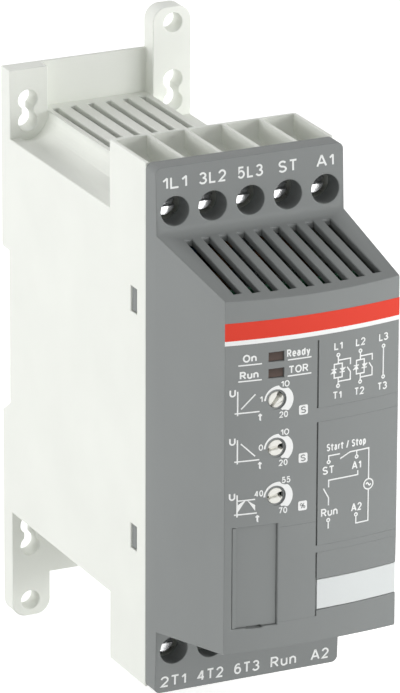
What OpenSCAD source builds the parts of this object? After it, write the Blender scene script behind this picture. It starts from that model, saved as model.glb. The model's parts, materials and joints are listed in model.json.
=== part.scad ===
/* [Envelope] */
// Width of the housing and of the terminal faces
body_w = 45; // [44:0.5:52]
// Height of the back plate without its two tabs
plate_h = 122; // [121:1:130]
// Depth of the base housing, from the wall to the seam with the front cover
housing_d = 76.8; // [74:0.2:84]
// Depth from the wall to the middle of the bowed front
front_d = 114.6; // [110:0.2:124]

/* [Back plate] */
// Thickness of the thin wall between the upper ears
plate_t = 1; // [0.8:0.1:1.2]
// Width of an ear
ear_w = 9.5; // [9:0.1:11]
// Thickness of an ear and of the lower wall
ear_t = 4.9; // [4:0.1:6]
// Height of a tab beyond the back plate
tab_h = 10; // [9:0.5:14]
// Corner radius of a tab
tab_r = 3.5; // [2:0.5:4.5]
// Distance of the fixing holes from the sides
fix_edge = 4.5; // [4.3:0.1:4.9]
// Diameter of the round hole in a tab
tab_hole_dia = 4.5; // [4:0.1:5]
// Distance of the tab hole from the end of the tab
tab_hole_edge = 3.8; // [3.4:0.1:4.5]
// Diameter of the keyhole lobes
lobe_dia = 4.6; // [4:0.1:5]
// Distance between the two lobes of a keyhole
lobe_gap = 5.1; // [4.8:0.1:5.4]
// Distance of the outer lobe from the edge of the back plate
lobe_edge = 7.3; // [6.5:0.1:8]
// Width of the waist between the lobes
waist_w = 2.7; // [2:0.1:3.4]
// Diameter of the round clearance in front of the inner lobe
spot_dia = 8.4; // [7:0.2:8.6]
// Depth of the round clearance in front of the inner lobe
spot_l = 3; // [1:0.5:5]

/* [Housing] */
// Wall thickness of the housing
wall = 1.6; // [1.2:0.1:1.8]
// Thickness of the back between the wall and the hollow
back_t = 6; // [5.6:0.2:8]
// Height of the full-width part, from shoulder to shoulder
shoulder_h = 90; // [89:0.5:91]
// Rise of a vent block above its shoulder
vent_rise = 5.5; // [5:0.1:6]
// Radius of the hollow channel beside a vent block
channel_r = 5; // [4:0.1:5.5]
// Number of air slots in a vent block
slot_count = 6; // [4:1:6]
// Width of an air slot
slot_w = 1.6; // [1.2:0.1:2]
// Length of the solid margin behind the air slots
slot_margin = 2.9; // [2.8:0.1:6]
// Length of a snap window along the depth
snap_l = 3.3; // [3:0.1:4]
// Height of a snap window
snap_h = 5.8; // [5:0.1:7]
// Height of the snap windows above and below the middle
snap_z = 27.6; // [22:0.2:32]
// Distance of the snap windows from the seam
snap_back = 4.5; // [4:0.1:6]
// Free play in front of a snap hook
snap_play = 0.9; // [0.4:0.1:1.2]

/* [Rail fixing] */
// Height of the recess for a 35 mm rail
rail_h = 36.6; // [36:0.1:37]
// Depth of the recess
rail_d = 4; // [3.6:0.1:4.4]
// Radius on the upper edge of the recess
rail_r = 1.2; // [0.8:0.1:3]
// Height of the chamfer on the lower edge of the recess
rail_chamfer = 2.8; // [1:0.1:3]
// Reach of the hooks behind the rail's edge
hook_reach = 1.9; // [1.2:0.1:2.2]
// Thickness of the hooks
hook_t = 2.2; // [1.8:0.1:2.4]
// Width of a fixed hook
hook_w = 6; // [4:0.5:8]
// Width of the sliding latch
latch_w = 14; // [12:0.5:15]
// Length of the latch from its nose to its spring seats
latch_l = 22; // [20:0.5:23]
// Travel of the latch when it is pulled down
latch_travel = 3.5; // [3:0.1:4]
// Length of the compressed springs at rest
spring_l = 6.2; // [6:0.1:7]
// Outer diameter of a latch spring
spring_dia = 2; // [1.6:0.1:2]

/* [Terminals] */
// Length of a terminal tower along the depth
tower_l = 18.5; // [18.2:0.1:20]
// Height over both terminal towers
tower_h = 121.6; // [121:0.2:125]
// Thickness of the ribs between the funnels
rib_t = 0.9; // [0.8:0.1:1]
// Drop of the funnel floor below the tower's top
funnel_drop = 4.2; // [3.6:0.1:4.6]
// Height of the screw axes above and below the middle
screw_z = 50.8; // [50.4:0.1:51.2]
// Diameter of a driver hole
driver_dia = 6.6; // [6.2:0.1:6.8]
// Diameter of a screw head
head_dia = 5.4; // [5:0.1:5.8]
// Thickness of a screw head
head_t = 2.2; // [2:0.1:2.4]
// Thread diameter of a terminal screw
thread_dia = 3.5; // [3:0.1:4]
// Travel of a clamp cage
clamp_travel = 4; // [3.6:0.1:4.2]
// Height of a clamp cage
cage_h = 6.4; // [6:0.1:6.8]
// Thickness of a clamp cage's side walls
cage_side_t = 0.8; // [0.6:0.1:0.9]
// Thickness of a clamp cage's threaded front wall
cage_nut_t = 1.4; // [1.2:0.1:1.6]
// Thickness of a clamp cage's back wall
cage_back_t = 1.2; // [1:0.1:1.4]
// Space left beside a terminal bar within its pole
bar_margin = 4; // [4:0.1:4.6]
// Thickness of a terminal bar
bar_t = 1.2; // [1:0.1:1.4]

/* [Front cover] */
// Wall thickness of the front cover
cover_t = 1.8; // [1.6:0.1:2]
// Depth of the terminal faces at their outer ends
face_d = 81.7; // [81:0.1:84]
// How much further forward the terminal faces lie where the slopes begin
face_lean = 0.7; // [0.1:0.1:1.4]
// Height where the slopes begin, above and below the middle
step_z = 45.9; // [45:0.1:47]
// Height of the front, from edge to edge
front_h = 80.5; // [79:0.5:83]
// How far the front's corners lie inside the sides
front_inset = 1.8; // [1:0.1:2.3]
// How far the front's corners lie behind its middle
front_bow = 2; // [1:0.1:3]
// Corner radius of the terminal faces
corner_r = 1.5; // [0.5:0.1:2]
// Number of vent slots in a slope
vent_count = 9; // [5:1:9]
// Distance of the outermost vent slots from the front's corners
vent_side = 4.18; // [3.9:0.02:4.6]
// Width of a vent slot
vent_w = 1.9; // [1.4:0.1:2.2]
// Plain margin at both ends of the vent slots
vent_margin = 3.3; // [2.5:0.1:4.5]
// Width of a fine parting groove
groove_w = 0.4; // [0.2:0.05:0.6]
// Depth of a fine parting groove
groove_t = 0.4; // [0.2:0.05:0.6]
// Height of the upper gap in the upright groove
upper_break_z = 12.2; // [11.5:0.1:12.5]
// Length of the upper gap in the upright groove
upper_break_h = 3.2; // [2.4:0.1:4]
// Height of the lower gap in the upright groove
lower_break_z = -18.5; // [-19:0.1:-18]
// Length of the lower gap in the upright groove
lower_break_h = 1.6; // [1:0.1:2.4]

/* [Adjusters and windows] */
// Distance of the adjusters and the status windows from the front's left corner
dial_edge = 11.4; // [10.7:0.1:11.7]
// Height of the uppermost adjuster
dial_z = 17.1; // [16.7:0.1:17.3]
// Distance between the adjusters
dial_pitch = 10.95; // [10.6:0.01:11.1]
// Diameter of an adjuster knob
knob_dia = 3.6; // [3.4:0.1:4.2]
// Gap between a knob and its hole
knob_gap = 0.45; // [0.3:0.05:0.6]
// Diameter of a knob's spindle
spindle_dia = 2.4; // [2:0.1:2.6]
// Width of the driver slot in a knob
knob_slot_w = 0.8; // [0.5:0.1:1]
// Depth of the driver slot in a knob
knob_slot_t = 0.9; // [0.5:0.1:1.2]
// Side of a trimmer's square body
trimmer_w = 8; // [7:0.1:8.2]
// Height of a trimmer's body
trimmer_t = 5; // [4:0.1:6]
// Width of a status window
window_w = 3.6; // [3:0.1:4]
// Height of a status window
window_h = 2.1; // [1.8:0.05:2.3]
// Height of the upper status window's middle
window_z = 26.8; // [26.4:0.1:27]
// Distance between the status windows
window_pitch = 3.72; // [3.6:0.01:3.8]
// How deep a window lies below the front
window_sink = 0.4; // [0.1:0.1:0.8]
// Diameter of a status lamp
lamp_dia = 2.8; // [2:0.1:3]

/* [Plug cover and marker plate] */
// Distance of the plug cover from the front's left corner
plug_edge = 1.8; // [1.6:0.1:2.2]
// Width of the plug cover
plug_w = 10.2; // [9.6:0.1:10.3]
// Upper edge of the plug cover
plug_z = -11.2; // [-11.5:0.1:-11]
// Height of the plug cover
plug_h = 23.3; // [22.6:0.1:23.4]
// Thickness of the plug cover
plug_t = 1.5; // [1.2:0.1:1.6]
// Width of the raised strip at the left of the plug cover
plug_rim = 0.9; // [0.5:0.1:1.2]
// Depth of the sunk panel of the plug cover
plug_sink = 0.45; // [0.2:0.05:0.6]
// Width of the pry slot under the plug cover
pry_w = 3.3; // [2.5:0.1:4]
// Height of the pry slot
pry_h = 0.5; // [0.3:0.1:0.7]
// Margin of the plug window inside the plug cover's edge
plug_seat = 1.6; // [1.4:0.1:1.8]
// Left edge of the marker plate's recess, from the middle
marker_x = 0.6; // [0.4:0.1:2]
// Upper edge of the marker plate
marker_z = -25.6; // [-26.5:0.1:-25]
// Height of the marker plate
marker_h = 7; // [6:0.1:7.6]
// Thickness of the marker plate
marker_t = 0.7; // [0.5:0.1:1]

/* [Inner parts] */
// Thickness of both circuit boards
board_t = 1.6; // [1.2:0.1:2]
// Gap between the control board's sides and the front's corners
control_side = 2.7; // [2.2:0.1:3.7]
// Height of the control board
control_h = 76; // [75:0.5:77]
// Distance of the control board's back from the middle of the front
control_back = 14.6; // [13.6:0.1:15.6]
// Diameter of a board boss
boss_dia = 4; // [3.6:0.1:4.4]
// Distance of a board boss from the board's edges
boss_edge = 2.6; // [2.4:0.1:3]
// Thread diameter of a board screw
board_screw_dia = 2.2; // [2:0.1:2.5]
// Head diameter of a board screw
board_head_dia = 4; // [3.6:0.1:4.2]
// Head thickness of a board screw
board_head_t = 1.5; // [1:0.1:1.6]
// Gap between the two circuit boards
board_gap = 5; // [4:0.5:7]
// Height of a card guide
guide_h = 2; // [1.5:0.1:3]
// Width of a bypass relay along the depth
relay_w = 12.7; // [12:0.1:14]
// Height of a bypass relay
relay_h = 29; // [26:0.5:30]
// Width of the heat sink from its base to the tips of its fins
sink_w = 12; // [11:0.1:12.4]
// Length of the heat sink along the depth
sink_l = 46; // [42:0.5:48]
// Height of the heat sink
sink_h = 76; // [72:0.5:80]
// Thickness of the heat sink's base
sink_base_t = 3; // [2.5:0.1:4]
// Number of heat sink fins
fin_count = 8; // [5:1:9]
// Thickness of a heat sink fin
fin_t = 1.4; // [1:0.1:1.8]
// Thickness of a thyristor module
module_t = 4.4; // [4:0.1:4.6]
// Height of a thyristor module
module_h = 30; // [28:0.5:32]
// Width of a thyristor module along the depth
module_w = 24; // [22:0.5:26]
// Thread diameter of a module screw
module_screw_dia = 3; // [2.5:0.1:3.5]
// Side of the supply transformer
transformer_w = 15; // [13:0.5:16]
// Diameter of the filter capacitor
capacitor_dia = 10; // [8:0.5:11]
// Side of the controller chip
chip_w = 8; // [6:0.5:10]
// Thickness of the controller chip
chip_t = 1.2; // [0.8:0.1:1.5]

/* [Hidden] */
// Gap between pieces that lie against each other
seat_gap = 0.1;
// Play of a part that slides or turns in its guide
run_gap = 0.05;
// Free play in front of and behind moving clamp parts
clamp_play = 0.3;
// Free space between inner parts
inner_gap = 0.6;
// Length by which a cut passes the face it opens
pass = 1;
// Number of poles above and below
pole_count = 5;
// Resolution of round shapes
$fn = 64;

half_w = body_w / 2;
fix_x = half_w - fix_edge;
plate_z = plate_h / 2;
tab_z = plate_z + tab_h;
tab_hole_z = tab_z - tab_hole_edge;
lobe_outer_z = plate_z - lobe_edge;
lobe_inner_z = lobe_outer_z - lobe_gap;
shoulder_z = shoulder_h / 2;
hollow_z = shoulder_z - wall;
hollow_x = half_w - wall;
vent_z = shoulder_z + vent_rise;
vent_half_w = fix_x - channel_r;
slot_pitch = 2 * vent_half_w / slot_count;
slot_rear = plate_t + slot_margin;
lower_slot_rear = ear_t + plate_t;
snap_front = housing_d - snap_back;

pole_pitch = body_w / pole_count;
bar_w = pole_pitch - bar_margin;
tower_z = tower_h / 2;
tower_rear = housing_d - tower_l;
funnel_rear = tower_rear + rib_t;
head_front = housing_d - clamp_play;
head_under = head_front - head_t;
cage_front = head_under - clamp_play - clamp_travel;
bar_front = cage_front - cage_nut_t - clamp_play;
bar_rear = bar_front - bar_t;
cage_hollow_rear = bar_rear - clamp_travel - 2 * clamp_play;
cage_rear = cage_hollow_rear - cage_back_t;
chamber_rear = cage_rear - clamp_play;
chamber_low = screw_z - cage_h / 2 - clamp_play;
chamber_high = screw_z + cage_h / 2 + clamp_play;
throat_t = 0.9;
throat_z = chamber_high + throat_t;
throat_rear = cage_hollow_rear - seat_gap;
throat_front = bar_rear + seat_gap;
funnel_z = tower_z - funnel_drop;
funnel_run = throat_rear - funnel_rear;
cage_hollow_w = bar_w + 4 * seat_gap;
cage_w = cage_hollow_w + 2 * cage_side_t;
bar_drop = 6;
bar_end_z = hollow_z - bar_drop;
bar_top_z = screw_z + cage_h / 2 - clamp_play;
bar_foot_h = 3;
driver_slot_w = 0.9;

step_d = face_d + face_lean;
front_z = front_h / 2;
front_half_w = half_w - front_inset;
front_corner_d = front_d - front_bow;
front_r = (front_half_w * front_half_w + front_bow * front_bow) / (2 * front_bow);
front_axis_d = front_d - front_r;
slope_fall = (step_z - front_z) / (front_corner_d - step_d);
side_taper = (half_w - front_half_w) / (front_corner_d - step_d);
vent_pitch = 2 * (front_half_w - vent_side) / (vent_count - 1);
dial_x = dial_edge - front_half_w;
plug_x = plug_edge - front_half_w;
window_x = span(dial_x, window_w);
window_flange = 0.6;
plug_span_x = [plug_x, plug_x + plug_w];
plug_span_z = [plug_z - plug_h, plug_z];
pry_x = span(plug_x + plug_w / 2, pry_w);
pry_z = span(plug_span_z[0], pry_h);
groove_x = marker_x - groove_w / 2;
groove_top = 29.2;
faint_w = groove_w / 4;
faint_t = groove_t / 8;
upper_break = span(upper_break_z, upper_break_h);
lower_break = span(lower_break_z, lower_break_h);
panel_top = plug_z - plug_rim;
panel_bottom = plug_span_z[0] + pry_h;

control_d = front_d - control_back;
control_front = control_d + board_t;
control_x = front_half_w - control_side;
control_z = control_h / 2;
boss_x = control_x - boss_edge;
boss_z = control_z - boss_edge;
boss_hole_l = 5;
board_screw_l = 4.5;
control_strip_w = 2;
control_strip_z = boss_z - board_head_dia / 2 - inner_gap;
lamp_back = 6.5;
lamp_front = front_d - lamp_back;
knob_sink = 0.9;
knob_front = front_d - knob_sink;
trimmer_front = control_front + trimmer_t;
socket_back = 7;
socket_front = front_d - socket_back;
power_x = pole_x(1.5) + board_t / 2;
power_left = power_x - board_t;
power_foot = 1.5;
power_rear = back_t + power_foot;
power_front = control_d - board_gap;
power_rear_z = hollow_z - 3 * seat_gap;
power_step = 3;
power_step_d = housing_d - power_step;
power_edge = 4;
power_front_z = front_z - power_edge;
guide_t = (pole_pitch - bar_w - board_t) / 2 - 3 * seat_gap;
sink_x = hollow_x - clamp_play - sink_w;
sink_foot = 7;
sink_rear = back_t + sink_foot;
module_spread = 3;
module_z = module_h / 2 + module_spread;
module_d = sink_rear + sink_l / 2;
module_head_t = 2;
module_screw_edge = 4;
module_screw_z = module_h / 2 - module_screw_edge;
lead_dia = 1;
lead_pitch = 5;
lead_edge = 2;
lead_d = module_d - module_w / 2 + lead_edge;
relay_spread = 4;
relay_z = relay_h / 2 + relay_spread;
relay_d = tower_rear - relay_w;
relay_reach = sink_x - module_t - module_head_t - inner_gap - power_x;
transformer_back = 10.2;
transformer_d = control_d - transformer_back - transformer_w / 2;
transformer_reach = -power_x - bar_w / 2 - inner_gap;
winding_inset = 2;
capacitor_gap = 4;
capacitor_z = (transformer_w + capacitor_dia) / 2 + capacitor_gap;
capacitor_groove = 1;
connector_l = 6;
connector_h = 20;
connector_z = -24;
connector_reach = 5.5;

rail_z = rail_h / 2;
hook_x = half_w - ear_w - hook_w / 2;
latch_lip_t = 1.2;
latch_ledge = 2;
latch_back = 0.2;
latch_front = 3.5;
latch_nose_z = -rail_z + hook_reach;
latch_end_z = latch_nose_z - latch_l;
latch_stop_z = latch_end_z - spring_l;
pull_w = 6;
pull_t = 1.4;
pull_edge = 2;
pull_end_z = -plate_z + pull_edge;
spring_wire = 0.4;
spring_turns = 5;
spring_x = (latch_w + pull_w) / 4;

POLES = [for (i = [1 : pole_count]) i];
BAR_POLES = [1, 2, 4, 5];
ENDS = ["upper", "lower"];
DIALS = [1, 2, 3];
// Direction of the slot in each knob, from the right, as the adjusters are set
DIAL_TURNS = [50, 7, 7];

LIGHT_GREY = "#eceee7";
DARK_GREY = "#8a8e8d";
STEEL = "#c4c6c8";
COPPER = "#c98d5e";
BOARD_GREEN = "#2f6b4a";
BLACK = "#2b2c2e";

// Low and high end of a length around its centre
function span(centre, length) = [centre - length / 2, centre + length / 2];

// A span made shorter at both ends
function shrunk(s, gap) = [s[0] + gap, s[1] - gap];

// Sideways place of a pole, counted from the left
function pole_x(i) = (i - 3) * pole_pitch;

// Height of an adjuster, counted from above
function dial_height(i) = dial_z - (i - 1) * dial_pitch;

// Height of the slopes' outer face at a depth
function slope_z(d) = step_z - (d - step_d) * slope_fall;

// Half width of the front cover's tapered sides at a depth
function cover_half_w(d) = half_w - max(0, d - step_d) * side_taper;

// Depth of the bowed front at a sideways place
function bow_d(x) = front_axis_d + sqrt(front_r * front_r - x * x);

// A box from its width, depth and height spans
module block(x, d, z)
    translate([x[0], -d[1], z[0]]) cube([x[1] - x[0], d[1] - d[0], z[1] - z[0]]);

// A (depth, height) outline drawn across the width, around the middle
module across(w)
    rotate([90, 0, -90]) linear_extrude(w, center = true) children();

// A (width, height) outline drawn forward between two depths
module forward(d)
    translate([0, -d[0], 0]) rotate([90, 0, 0]) linear_extrude(d[1] - d[0]) children();

// A round bar along the depth
module round_forward(dia, x, d, z)
    translate([x, -d[0], z]) rotate([90, 0, 0]) cylinder(d = dia, h = d[1] - d[0]);

// A round bar along the width
module round_across(dia, x, d, z)
    translate([x[0], -d, z]) rotate([0, 90, 0]) cylinder(d = dia, h = x[1] - x[0]);

// The same shape above and below the middle
module above_and_below() {
    children();
    mirror([0, 0, 1]) children();
}

// The same shape to the left and right of the middle
module left_and_right() {
    children();
    mirror([1, 0, 0]) children();
}

// A shape drawn for the upper end, placed at the named end
module at_end(e)
    mirror([0, 0, e == "lower" ? 1 : 0]) children();

// A shape drawn for the upper middle pole, placed at a named pole
module at_pole(e, i)
    at_end(e) translate([pole_x(i), 0, 0]) children();

// Rounded tab with its upper corners rounded
module tab_outline() {
    left = half_w - ear_w;
    translate([left, plate_z - tab_h]) square([ear_w, 2 * tab_h - tab_r]);
    translate([left + tab_r, plate_z - tab_h]) square([ear_w - 2 * tab_r, 2 * tab_h]);
    for (x = [left + tab_r, half_w - tab_r])
        translate([x, tab_z - tab_r]) circle(tab_r);
}

// Figure-of-eight keyhole of the upper right ear
module keyhole_outline() {
    for (z = [lobe_inner_z, lobe_outer_z])
        translate([fix_x, z]) circle(d = lobe_dia);
    translate([fix_x - waist_w / 2, lobe_inner_z]) square([waist_w, lobe_gap]);
}

// Section of a vent block with the hollow channels at its sides
module vent_outline() {
    foot_half_w = vent_half_w + channel_r;
    translate([-vent_half_w, hollow_z]) square([2 * vent_half_w, vent_z - hollow_z]);
    difference() {
        translate([-foot_half_w, hollow_z]) square([2 * foot_half_w, shoulder_z + channel_r - hollow_z]);
        left_and_right() translate([foot_half_w, shoulder_z + channel_r]) circle(channel_r);
    }
}

// Rail recess with a rounded upper edge and a chamfered lower edge, in depth and height
module rail_outline() {
    low = -rail_z - rail_chamfer;
    polygon([
        [-pass, low], [0, low], [rail_d, -rail_z], [rail_d, rail_z], [-pass, rail_z]
    ]);
    difference() {
        translate([-pass, rail_z - seat_gap]) square([rail_r + pass, rail_r + seat_gap]);
        translate([rail_r, rail_z + rail_r]) circle(rail_r);
    }
}

// Wire funnel and clamp chamber of an upper pole, in depth and height
module funnel_outline()
    polygon([
        [funnel_rear, tower_z + pass], [funnel_rear, funnel_z],
        [throat_rear, throat_z], [throat_rear, chamber_high],
        [chamber_rear, chamber_high], [chamber_rear, chamber_low],
        [housing_d + pass, chamber_low], [housing_d + pass, chamber_high],
        [throat_front, chamber_high], [throat_front, throat_z],
        [throat_front + funnel_run, funnel_z], [housing_d + pass, funnel_z],
        [housing_d + pass, tower_z + pass]
    ]);

// Hollow of one upper pole, kept inside the tower's outer walls
module pole_hollow(i) {
    inner = half_w - rib_t;
    low = max(pole_x(i) - (pole_pitch - rib_t) / 2, -inner);
    high = min(pole_x(i) + (pole_pitch - rib_t) / 2, inner);
    translate([(low + high) / 2, 0, 0]) across(high - low) funnel_outline();
}

// Slits that lead the terminal bars from the chambers into the housing
module bar_slit(i)
    translate([pole_x(i), 0, 0])
        block(
            span(0, bar_w + 2 * seat_gap), [bar_rear - seat_gap, bar_front + seat_gap],
            [hollow_z - pass, chamber_low + pass]
        );

// Hollow and air slots of the upper vent block, from a depth forward
module vent_hollow(rear) {
    inner_w = 2 * (vent_half_w - wall);
    d = [rear, tower_rear - wall];
    block(span(0, inner_w), d, [hollow_z - pass, vent_z - wall]);
    for (i = [0 : slot_count - 1])
        block(
            span((i - (slot_count - 1) / 2) * slot_pitch, slot_w), d, [vent_z - wall - pass, vent_z + pass]
        );
}

// Guided pocket of the rail latch, open to the back, with a channel for its pull in the lower wall
module latch_pocket() {
    pull_x = span(0, pull_w + 2 * seat_gap);
    block(
        span(0, latch_w + 2 * seat_gap), [latch_lip_t, latch_front + seat_gap],
        [latch_stop_z, -rail_z + pass]
    );
    block(
        span(0, latch_w - 2 * latch_ledge + 2 * seat_gap), [-pass, latch_lip_t + pass],
        [latch_end_z - latch_travel - clamp_play, -rail_z + pass]
    );
    block(
        pull_x, [latch_lip_t, latch_lip_t + pull_t + 2 * seat_gap], [-vent_z - pass, latch_stop_z + pass]
    );
    block(pull_x, [latch_lip_t, ear_t + pass], [-plate_z - pass, -vent_z]);
}

// Card guides that hold the power board's upper edge
module card_guides()
    for (x = [power_left - seat_gap - guide_t, power_x + seat_gap])
        block([x, x + guide_t], [back_t - pass, power_step_d], [hollow_z - guide_h, hollow_z + wall / 2]);

// Light grey base with the back plate, the vent blocks and the terminal towers
module base_housing()
    color(LIGHT_GREY) {
        difference() {
            union() {
                block(span(0, body_w), [0, housing_d], span(0, shoulder_h));
                block(span(0, body_w), [0, plate_t], [0, plate_z]);
                block(span(0, body_w), [0, ear_t], [-plate_z, 0]);
                left_and_right() block([half_w - ear_w, half_w], [0, ear_t], [0, plate_z]);
                forward([0, ear_t]) tab_outline();
                rotate([0, 180, 0]) forward([0, ear_t]) tab_outline();
                above_and_below() forward([0, tower_rear + rib_t]) vent_outline();
                above_and_below()
                    block(span(0, body_w), [tower_rear, housing_d], [hollow_z, tower_z]);
            }
            block(span(0, 2 * hollow_x), [back_t, housing_d + pass], span(0, 2 * hollow_z));
            vent_hollow(slot_rear);
            at_end("lower") vent_hollow(lower_slot_rear);
            above_and_below() for (i = POLES) pole_hollow(i);
            above_and_below() for (i = POLES) bar_slit(i);
            for (turn = [0, 180])
                rotate([0, turn, 0]) round_forward(tab_hole_dia, fix_x, [-pass, ear_t + pass], tab_hole_z);
            above_and_below() left_and_right() {
                forward([-pass, ear_t + pass]) keyhole_outline();
                round_forward(spot_dia, fix_x, [ear_t, ear_t + spot_l], lobe_inner_z);
                block(
                    [hollow_x - pass, half_w + pass], [snap_front - snap_l, snap_front], span(snap_z, snap_h)
                );
            }
            across(body_w + 2 * pass) rail_outline();
            latch_pocket();
        }
        left_and_right()
            block(
                span(hook_x, hook_w), [latch_back, latch_back + hook_t],
                [rail_z - hook_reach, rail_z + seat_gap]
            );
        above_and_below() card_guides();
    }

// Round body whose outside is the bowed front, sunk below it by an inset
module bow_body(inset)
    translate([0, -front_axis_d, -plate_h]) cylinder(r = front_r - inset, h = 2 * plate_h, $fn = 180);

// A layer of the bowed front between two depths below its surface
module bow_layer(x, sink, z)
    difference() {
        intersection() {
            block(x, [control_d, front_d + pass], z);
            bow_body(sink[0]);
        }
        bow_body(sink[1]);
    }

// Side view of the front cover, sunk inward by an inset, in depth and height
module cover_side_outline(inset, rear) {
    ahead = front_d + pass;
    inner_step = step_d - inset;
    upper = [
        [rear, tower_z - inset], [face_d - inset, tower_z - inset],
        [inner_step, slope_z(inner_step) - inset], [ahead, slope_z(ahead) - inset]
    ];
    lower = [for (i = [len(upper) - 1 : -1 : 0]) [upper[i][0], -upper[i][1]]];
    polygon(concat(upper, lower));
}

// Top view of the front cover, sunk inward by an inset
module cover_plan_outline(inset, rear) {
    ahead = front_d + pass;
    right = [
        [half_w - inset, -rear], [half_w - inset, -step_d], [cover_half_w(ahead) - inset, -ahead]
    ];
    left = [for (i = [len(right) - 1 : -1 : 0]) [-right[i][0], right[i][1]]];
    polygon(concat(right, left));
}

// Front view of the front cover with rounded corners
module cover_front_outline() {
    square([body_w - 2 * corner_r, tower_h], center = true);
    square([body_w, tower_h - 2 * corner_r], center = true);
    for (x = [-1, 1], z = [-1, 1])
        translate([x * (half_w - corner_r), z * (tower_z - corner_r)]) circle(corner_r);
}

// Full body of the front cover, sunk inward by an inset
module cover_form(inset, rear)
    intersection() {
        across(body_w) cover_side_outline(inset, rear);
        linear_extrude(tower_h, center = true) cover_plan_outline(inset, rear);
        bow_body(inset);
    }

// Vent slots of the upper slope
module slope_vents()
    for (i = [0 : vent_count - 1]) {
        x = (i - (vent_count - 1) / 2) * vent_pitch;
        last = bow_d(x) - vent_margin;
        block(
            span(x, vent_w), [step_d + vent_margin, last],
            [slope_z(last) - 2 * cover_t, slope_z(step_d) + pass]
        );
    }

// Fine parting grooves of the front
module parting_grooves() {
    sink = [-pass, groove_t];
    pieces = [
        [upper_break[1], groove_top], [lower_break[1], upper_break[0]], [panel_bottom, lower_break[0]]
    ];
    for (piece = pieces)
        bow_layer(span(groove_x, groove_w), sink, piece);
    faint = [-pass, faint_t];
    for (z = [panel_top, panel_bottom])
        bow_layer([plug_span_x[1] + groove_w, groove_x], faint, span(z, faint_w));
    for (z = concat(upper_break, lower_break))
        bow_layer([groove_x, half_w], faint, span(z, faint_w));
}

// Snap arm with its hook, for the upper right window
module snap_arm() {
    face = hollow_x - seat_gap;
    hook = [snap_front - snap_l + 2 * seat_gap, snap_front - snap_play];
    z = span(snap_z, snap_h - 4 * seat_gap);
    block([face - cover_t, face], [hook[0] - snap_l, face_d - cover_t], z);
    block([face - seat_gap, half_w - wall / 4], hook, z);
}

// Dark grey cover with the terminal faces, the slopes and the bowed front
module front_cover()
    color(DARK_GREY) difference() {
        union() {
            difference() {
                intersection() {
                    cover_form(0, housing_d);
                    forward([housing_d, front_d + pass]) cover_front_outline();
                }
                cover_form(cover_t, housing_d - pass);
            }
            intersection() {
                cover_form(0, housing_d);
                union() {
                    above_and_below() for (i = POLES)
                        round_forward(driver_dia + cover_t, pole_x(i), [housing_d, face_d], screw_z);
                    above_and_below() left_and_right()
                        round_forward(boss_dia, boss_x, [control_front, front_d], boss_z);
                }
            }
            above_and_below() left_and_right() snap_arm();
        }
        above_and_below() for (i = POLES)
            round_forward(driver_dia, pole_x(i), [housing_d - pass, step_d + pass], screw_z);
        above_and_below() slope_vents();
        above_and_below() left_and_right()
            round_forward(
                board_screw_dia + 2 * run_gap, boss_x, [control_front - pass, control_front + boss_hole_l],
                boss_z
            );
        for (i = DIALS)
            round_forward(knob_dia + 2 * knob_gap, dial_x, [control_front, front_d + pass], dial_height(i));
        for (z = [window_z, window_z - window_pitch])
            block(window_x, [control_front, front_d + pass], span(z, window_h));
        bow_layer(plug_span_x, [-pass, plug_t], plug_span_z);
        block(
            shrunk(plug_span_x, plug_seat), [control_front, front_d + pass], shrunk(plug_span_z, plug_seat)
        );
        bow_layer(pry_x, [-pass, plug_t], pry_z);
        bow_layer([marker_x, half_w], [-pass, marker_t], [marker_z - marker_h, marker_z]);
        parting_grooves();
    }

// White plate in the recess at the lower right of the front
module marker_plate()
    color("#e8ecea") intersection() {
        bow_layer(
            [marker_x + seat_gap, half_w], [seat_gap, marker_t],
            shrunk([marker_z - marker_h, marker_z], seat_gap)
        );
        cover_form(seat_gap, housing_d);
    }

// Pull-off cover over the plug socket, with a sunk panel and two legs
module plug_cover() {
    leg_t = 0.8;
    leg_x = span(plug_x + plug_w / 2, plug_w / 2);
    low = plug_span_z[0] + plug_seat + seat_gap;
    high = plug_span_z[1] - plug_seat - seat_gap;
    color(DARK_GREY) difference() {
        union() {
            bow_layer(
                shrunk(plug_span_x, seat_gap), [seat_gap, plug_t - seat_gap], shrunk(plug_span_z, seat_gap)
            );
            for (z = [[low, low + leg_t], [high - leg_t, high]])
                intersection() {
                    block(leg_x, [socket_front + leg_t, front_d], z);
                    bow_body(plug_t / 2);
                }
        }
        bow_layer(
            [plug_x + plug_rim, plug_span_x[1]], [-pass, plug_sink + seat_gap], shrunk(plug_span_z, -pass)
        );
        bow_layer(pry_x, [-pass, plug_t], pry_z);
    }
}

// Socket on the control board behind the plug cover
module plug_socket() {
    outer_x = shrunk(plug_span_x, plug_seat + 2 * seat_gap);
    shell = 0.8;
    outer_z = shrunk(plug_span_z, plug_seat + 2 * shell);
    pin_count = 8;
    pin_w = 0.64;
    pin_edge = 2;
    pin_step = (outer_z[1] - outer_z[0] - 2 * pin_edge) / (pin_count - 1);
    color(BLACK) {
        difference() {
            block(outer_x, [control_front, socket_front], outer_z);
            block(
                shrunk(outer_x, shell), [control_front + shell, socket_front + pass], shrunk(outer_z, shell)
            );
        }
        for (i = [0 : pin_count - 1])
            block(
                [outer_x[0] + shell / 2, outer_x[0] + 1.6 * shell],
                [control_front + shell / 2, socket_front - shell],
                span(outer_z[0] + pin_edge + i * pin_step, pin_w)
            );
    }
}

// Smoked window with a flange behind the front wall, at a height
module led_window(z)
    color("#3b2a26") {
        bow_layer(
            shrunk(window_x, seat_gap), [window_sink, cover_t + 2 * seat_gap],
            span(z, window_h - 2 * seat_gap)
        );
        bow_layer(
            shrunk(window_x, -window_flange), [cover_t + seat_gap, cover_t + window_flange],
            span(z, window_h + window_flange)
        );
    }

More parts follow.
